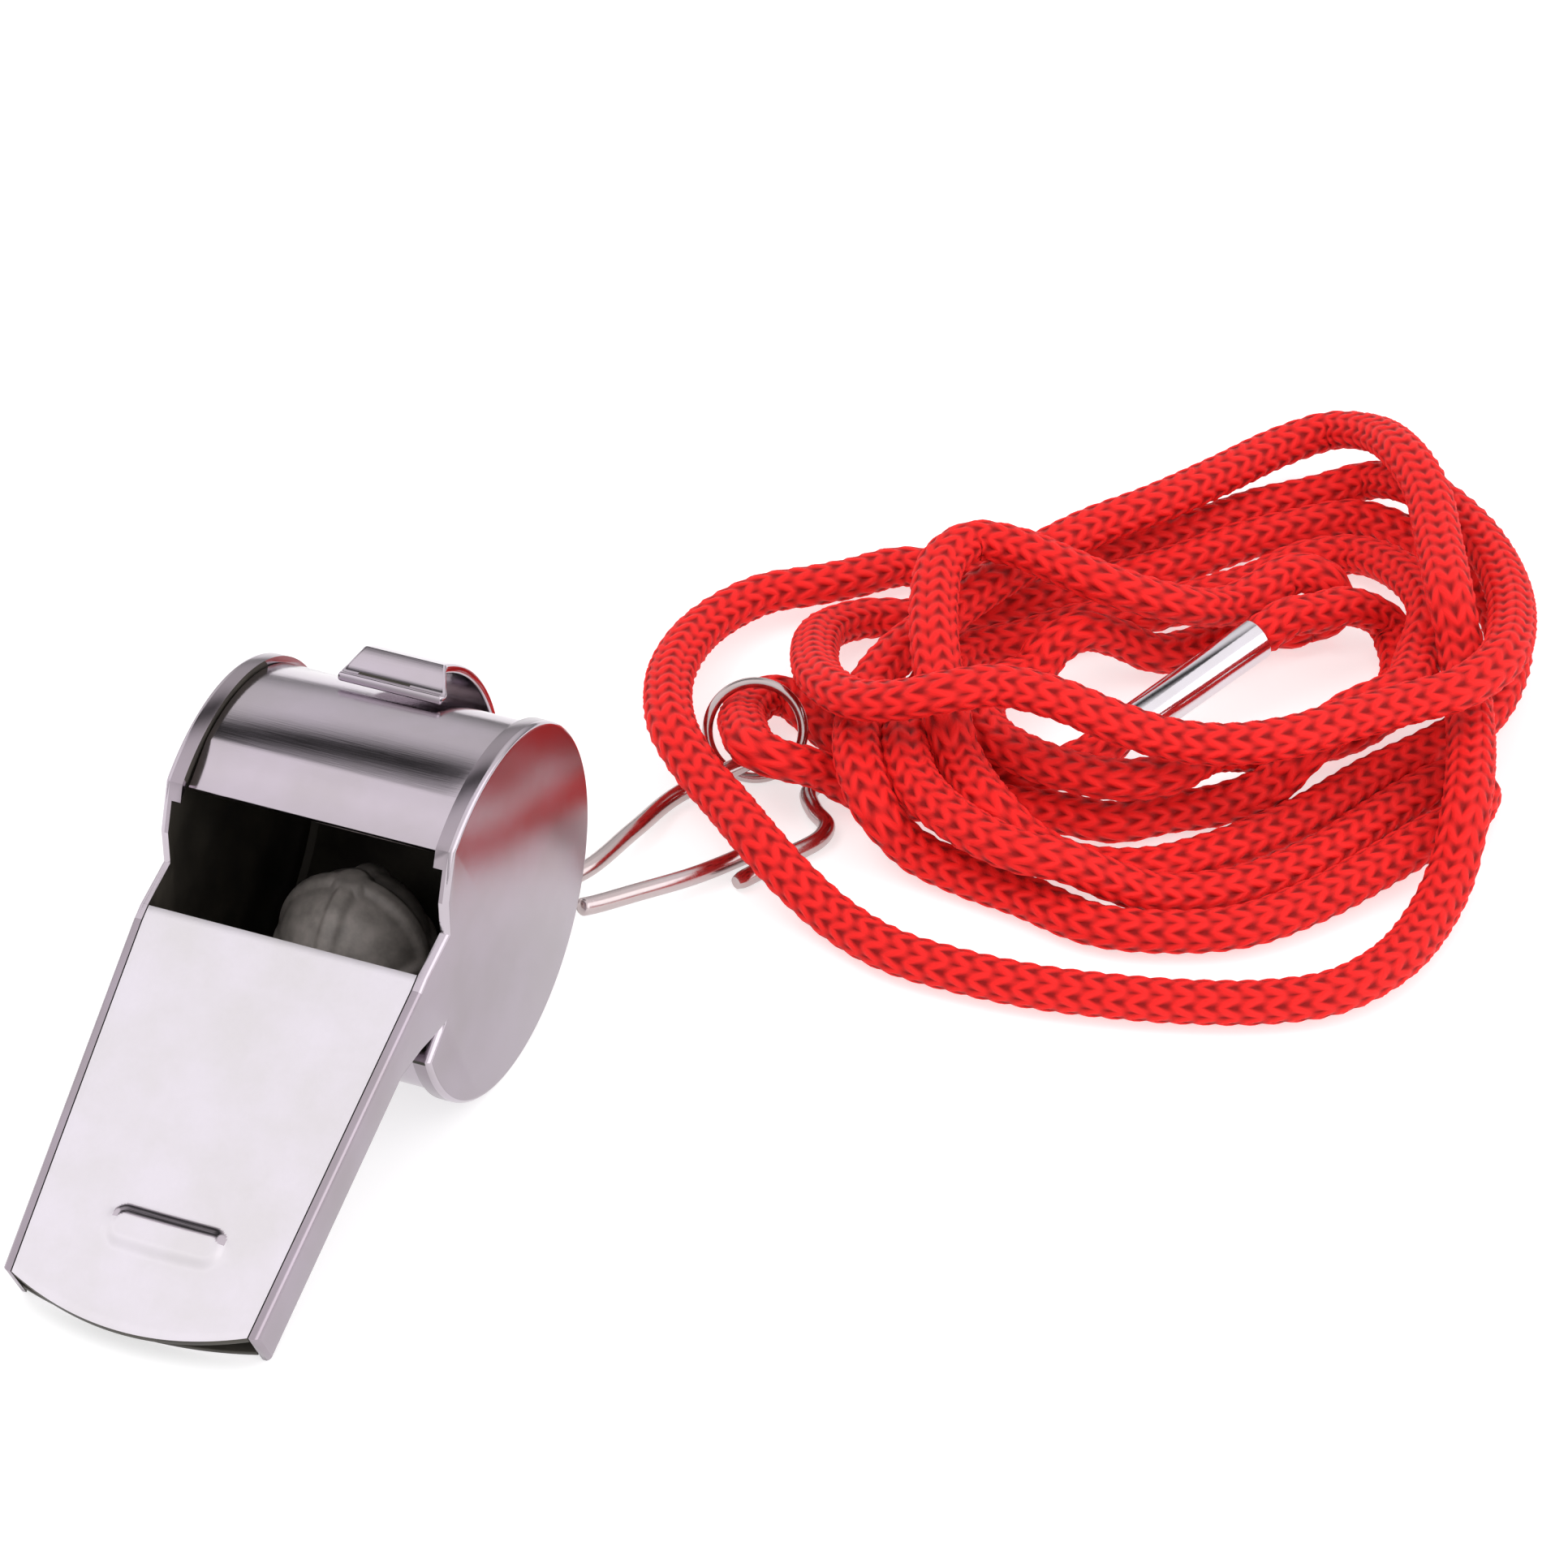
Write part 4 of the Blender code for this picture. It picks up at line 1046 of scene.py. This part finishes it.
class OBJECT_OT_whistle_clip(bpy.types.Operator):
    """Build the bent wire clip and its sprung leg"""
    bl_idname = "object.whistle_clip"
    bl_label = "Wire Clip"

    def execute(self, context):
        finish = wire_finish()
        frame_route = in_metres(CLIP_ROUTE[::-1]) + eye_line() + in_metres(WAIST_ROUTE)
        leg_route = in_metres(LEG_ROUTE)
        for node, body, route in (
                ("clip_frame", "lanyard", frame_route), ("clip_leg", "sprung_leg", leg_route)):
            wire = wire_along(node, smooth_line(route, 10))
            settle(wire, node, body, [finish])
        return {"FINISHED"}


def pointed_along(direction, middle):
    """Where a round piece goes whose axis points along the direction."""
    return Matrix.Translation(middle) @ direction.to_track_quat("Z", "Y").to_matrix().to_4x4()


class OBJECT_OT_whistle_ring(bpy.types.Operator):
    """Build the small wire ring that ties the cord to the clip"""
    bl_idname = "object.whistle_ring"
    bl_label = "Ring"

    def execute(self, context):
        bpy.ops.mesh.primitive_torus_add(
            major_segments=128, minor_segments=24, major_radius=(RING_DIAMETER - RING_WIRE) / 2,
            minor_radius=RING_WIRE / 2)
        piece = named_piece("ring")
        shade(piece, 60.0)
        place = pointed_along(RING_FACING.normalized(), RING_AT)
        settle(piece, "ring", "ring", [wire_finish()], place)
        return {"FINISHED"}


class OBJECT_OT_whistle_ferrule(bpy.types.Operator):
    """Build the ferrule, a short rolled tube that joins the cord's two ends"""
    bl_idname = "object.whistle_ferrule"
    bl_label = "Ferrule"

    def execute(self, context):
        span = FERRULE_TOP_END - FERRULE_LOW_END
        bpy.ops.mesh.primitive_cylinder_add(
            vertices=96, radius=FERRULE_DIAMETER / 2, depth=span.length, end_fill_type="NOTHING")
        piece = named_piece("ferrule")
        apply_modifier(piece, "SOLIDIFY", thickness=FERRULE_WALL, offset=-1.0)
        soften(piece, 0.08 * MM, 3, 60.0)
        shade(piece)
        place = pointed_along(span, (FERRULE_TOP_END + FERRULE_LOW_END) / 2)
        settle(piece, "ferrule", "lanyard", [ferrule_finish()], place)
        return {"FINISHED"}


def cord_line():
    """The cord's middle line, straight where it leaves each end of the ferrule."""
    low, top = np.array(FERRULE_LOW_END), np.array(FERRULE_TOP_END)
    along = (top - low) / np.linalg.norm(top - low)
    first = [top + along * GAP, top + along * (GAP + CORD)]
    last = [low - along * (GAP + CORD), low - along * GAP]
    line = smooth_line([first[1]] + in_metres(CORD_ROUTE) + [last[0]], 12)
    line = np.vstack([first[0], line, last[1]])
    line[1:-1, 2] = np.maximum(line[1:-1, 2], CORD / 2 + FLOOR_CLEARANCE)
    return line


def carried_frames(line):
    """A tangent and two cross directions at each point, carried along without twist."""
    tangents = np.gradient(line, axis=0)
    tangents /= np.linalg.norm(tangents, axis=1)[:, None]
    first = np.cross(tangents[0], (0.0, 0.0, 1.0))
    sides = [first / np.linalg.norm(first)]
    for tangent in tangents[1:]:
        carried = sides[-1] - tangent * (sides[-1] @ tangent)
        sides.append(carried / np.linalg.norm(carried))
    sides = np.array(sides)
    return sides, np.cross(tangents, sides)


def stitch_height(across, along):
    """Relief of the V stitches, 0 to 1, at a place in wales and stitches."""
    side = abs(2.0 * (across % 1.0) - 1.0)
    ridge = 0.5 + 0.5 * math.cos(math.tau * (along - side * sizes().stitch_slope))
    return RIDGE_SHARE * ridge + (1 - RIDGE_SHARE) * math.sin(LEG_BULGE * side + LEG_START)


def ends_tucked_in(line):
    """The line with both ends run on into the open ferrule."""
    first, last = line[0] - line[1], line[-1] - line[-2]
    first *= CORD_TUCK / np.linalg.norm(first)
    last *= CORD_TUCK / np.linalg.norm(last)
    return np.vstack([line[0] + first, line, line[-1] + last])


def lying_round(line, sides, ups):
    """The cross directions, stretched so that the cord lies a little wider than high."""
    run = run_along(line)
    from_end = np.minimum(run, run[-1] - run)
    share = np.clip((from_end - CORD_TUCK) / (4 * CORD), 0.0, 1.0)[:, None]
    level = np.cross(np.cross(sides, ups), (0.0, 0.0, 1.0))
    lying = np.linalg.norm(level, axis=1)[:, None]
    level /= np.maximum(lying, 1e-9)
    spread = 1.0 + (sizes().cord_spread - 1.0) * share * lying
    settle_to = 1.0 + (sizes().cord_settle - 1.0) * share * lying

    def stretched(direction):
        across = np.sum(direction * level, axis=1)[:, None] * level
        return across * spread + (direction - across) * settle_to

    return stretched(sides), stretched(ups)


def knitted_tube(name):
    """Tube of knitted stitches along the cord's line, with the stitches laid out in a UV map."""
    around = sizes().wale_count * WALE_STEPS
    line = cord_line()
    length = run_along(line)[-1]
    rings = round(length / sizes().stitch_length) * STITCH_STEPS + 1
    path = even_line(line, rings)
    line = even_line(ends_tucked_in(line), rings)
    sides, ups = lying_round(line, *carried_frames(line))
    tucked = (rings - 1) * CORD_TUCK / (length + 2 * CORD_TUCK)
    core = CORD / 2 - SUNK_SHARE * sizes().stitch_height
    relief = np.array([
        [stitch_height(j / WALE_STEPS, i / STITCH_STEPS) for j in range(around)]
        for i in range(STITCH_STEPS)])
    turns = np.arange(around) * math.tau / around
    verts = []
    for i in range(rings):
        radius = core + sizes().stitch_height * relief[i % STITCH_STEPS]
        outside = max(0.0, min(i, rings - 1 - i) - tucked)
        radius = np.minimum(radius, FERRULE_BORE + SWELL * outside)
        across = np.outer(radius * np.cos(turns), sides[i]) + np.outer(radius * np.sin(turns), ups[i])
        verts.extend((line[i] + across).tolist())
    faces, spots = [], []
    for i in range(rings - 1):
        for j in range(around):
            k = (j + 1) % around
            faces.append((i * around + j, i * around + k, (i + 1) * around + k, (i + 1) * around + j))
            left, right = j / WALE_STEPS, (j + 1) / WALE_STEPS
            low, high = i / STITCH_STEPS, (i + 1) / STITCH_STEPS
            spots.extend(((left, low), (right, low), (right, high), (left, high)))
    for end in (range(around)[::-1], range((rings - 1) * around, rings * around)):
        faces.append(tuple(end))
        spots.extend([(0.0, 0.0)] * around)
    mesh = bpy.data.meshes.new(name)
    mesh.from_pydata(verts, [], faces)
    layer = mesh.uv_layers.new(name="knit")
    layer.data.foreach_set("uv", np.ravel(spots))
    mesh.polygons.foreach_set("use_smooth", [True] * (len(faces) - 2) + [False] * 2)
    piece = bpy.data.objects.new(name, mesh)
    bpy.context.scene.collection.objects.link(piece)
    return piece, path, length


class OBJECT_OT_whistle_cord(bpy.types.Operator):
    """Build the knitted neck cord that lies in a loose pile"""
    bl_idname = "object.whistle_cord"
    bl_label = "Knitted Cord"

    def execute(self, context):
        piece, line, length = knitted_tube("cord")
        settle(piece, "cord", "lanyard", [yarn_finish()])
        return {"FINISHED"}


def studio_sky():
    """Soft studio all round, with a dark screen overhead that draws a band across the drum."""
    world = bpy.data.worlds.new("studio")
    bpy.context.scene.world = world
    sky = NodeGraph(world)
    place = sky.node("ShaderNodeTexCoord").outputs["Generated"]
    parts = sky.node("ShaderNodeSeparateXYZ", {"Vector": place}).outputs

    def steps(share, stops):
        level = sky.node("ShaderNodeValToRGB", {"Fac": share})
        elements = level.color_ramp.elements
        while len(elements) < len(stops):
            elements.new(0.5)
        for element, (degrees, grey) in zip(elements, stops):
            element.position = degrees / 180
            element.color = (grey, grey, grey, 1.0)
        return level.outputs["Color"]

    over = sky.math("ARCTAN2", parts["Z"], sky.times(parts["Y"], -1.0))
    share = sky.math("DIVIDE", over, math.pi)
    light = steps(share, SKY_STEPS)
    shaded = sky.times(light, steps(share, SCREEN_STEPS))
    behind_screen = sky.math("COMPARE", parts["X"], SCREEN_AT, SCREEN_HALF)
    chosen = sky.node("ShaderNodeMix", {0: behind_screen, 2: light, 3: shaded}).outputs[0]
    on_panel = sky.math("COMPARE", parts["X"], PANEL_AT, PANEL_HALF)
    chosen = sky.times(chosen, sky.math("MULTIPLY_ADD", on_panel, PANEL_GAIN, 1.0))
    background = sky.nodes["Background"].inputs
    strength = bpy.context.scene.studio.sky_strength * SKY_PEAK
    sky.feed(background["Strength"], sky.times(chosen, strength))
    background["Color"].default_value = SKY_COLOUR


class OBJECT_OT_whistle_stage(bpy.types.Operator):
    """Set the pale floor, the soft light and the photograph's camera"""
    bl_idname = "object.whistle_stage"
    bl_label = "Stage"

    def execute(self, context):
        bpy.ops.mesh.primitive_plane_add(size=context.scene.studio.floor_size)
        floor = named_piece("floor")
        floor.data.materials.append(floor_finish())
        studio_sky()
        bpy.ops.object.light_add(type="AREA", location=LAMP_AT)
        lamp = bpy.context.object
        lamp.name = "soft_lamp"
        lamp.data.shape = "RECTANGLE"
        lamp.data.size, lamp.data.size_y = LAMP_SIDES
        lamp.data.energy = context.scene.studio.lamp_power
        lamp.visible_glossy = False
        lamp.rotation_euler = (LAMP_AIM - LAMP_AT).to_track_quat("-Z", "Y").to_euler()
        bpy.ops.object.camera_add(location=CAMERA_AT)
        camera = bpy.context.object
        camera.name = "photo_camera"
        back = CAMERA_RIGHT.cross(CAMERA_UP)
        turned = Matrix((CAMERA_RIGHT, CAMERA_UP, back)).transposed()
        camera.matrix_world = Matrix.Translation(CAMERA_AT) @ turned.to_4x4()
        camera.data.lens = CAMERA_LENS
        camera.data.sensor_width = 36.0
        camera.data.clip_start = 0.01
        camera.data.clip_end = 10.0
        context.scene.camera = camera
        context.scene.view_settings.view_transform = "Standard"
        return {"FINISHED"}


OPERATORS = [
    OBJECT_OT_whistle_stage, OBJECT_OT_whistle_ferrule, OBJECT_OT_whistle_cord, OBJECT_OT_whistle_cheeks,
    OBJECT_OT_whistle_band, OBJECT_OT_whistle_mouthpiece, OBJECT_OT_whistle_strap, OBJECT_OT_whistle_pea,
    OBJECT_OT_whistle_clip, OBJECT_OT_whistle_ring]


class VIEW3D_PT_whistle(bpy.types.Panel):
    """Sizes, colours and steps of the whistle"""
    bl_label = "Pea Whistle"
    bl_idname = "VIEW3D_PT_whistle"
    bl_space_type = "VIEW_3D"
    bl_region_type = "UI"
    bl_category = "Whistle"

    def draw(self, context):
        for group in (context.scene.whistle_sizes, context.scene.whistle_look, context.scene.studio):
            box = self.layout.box()
            for name in group.__annotations__:
                box.prop(group, name)
        for operator in OPERATORS:
            self.layout.operator(operator.bl_idname)


CLASSES = [WhistleSizes, WhistleLook, StudioSettings, *OPERATORS, VIEW3D_PT_whistle]


def register():
    for item in CLASSES:
        bpy.utils.register_class(item)
    bpy.types.Scene.whistle_sizes = bpy.props.PointerProperty(type=WhistleSizes)
    bpy.types.Scene.whistle_look = bpy.props.PointerProperty(type=WhistleLook)
    bpy.types.Scene.studio = bpy.props.PointerProperty(type=StudioSettings)


def unregister():
    del bpy.types.Scene.studio
    del bpy.types.Scene.whistle_look
    del bpy.types.Scene.whistle_sizes
    for item in reversed(CLASSES):
        bpy.utils.unregister_class(item)


def main():
    register()
    for operator in OPERATORS:
        group, name = operator.bl_idname.split(".")
        getattr(getattr(bpy.ops, group), name)()


if __name__ == "__main__":
    main()
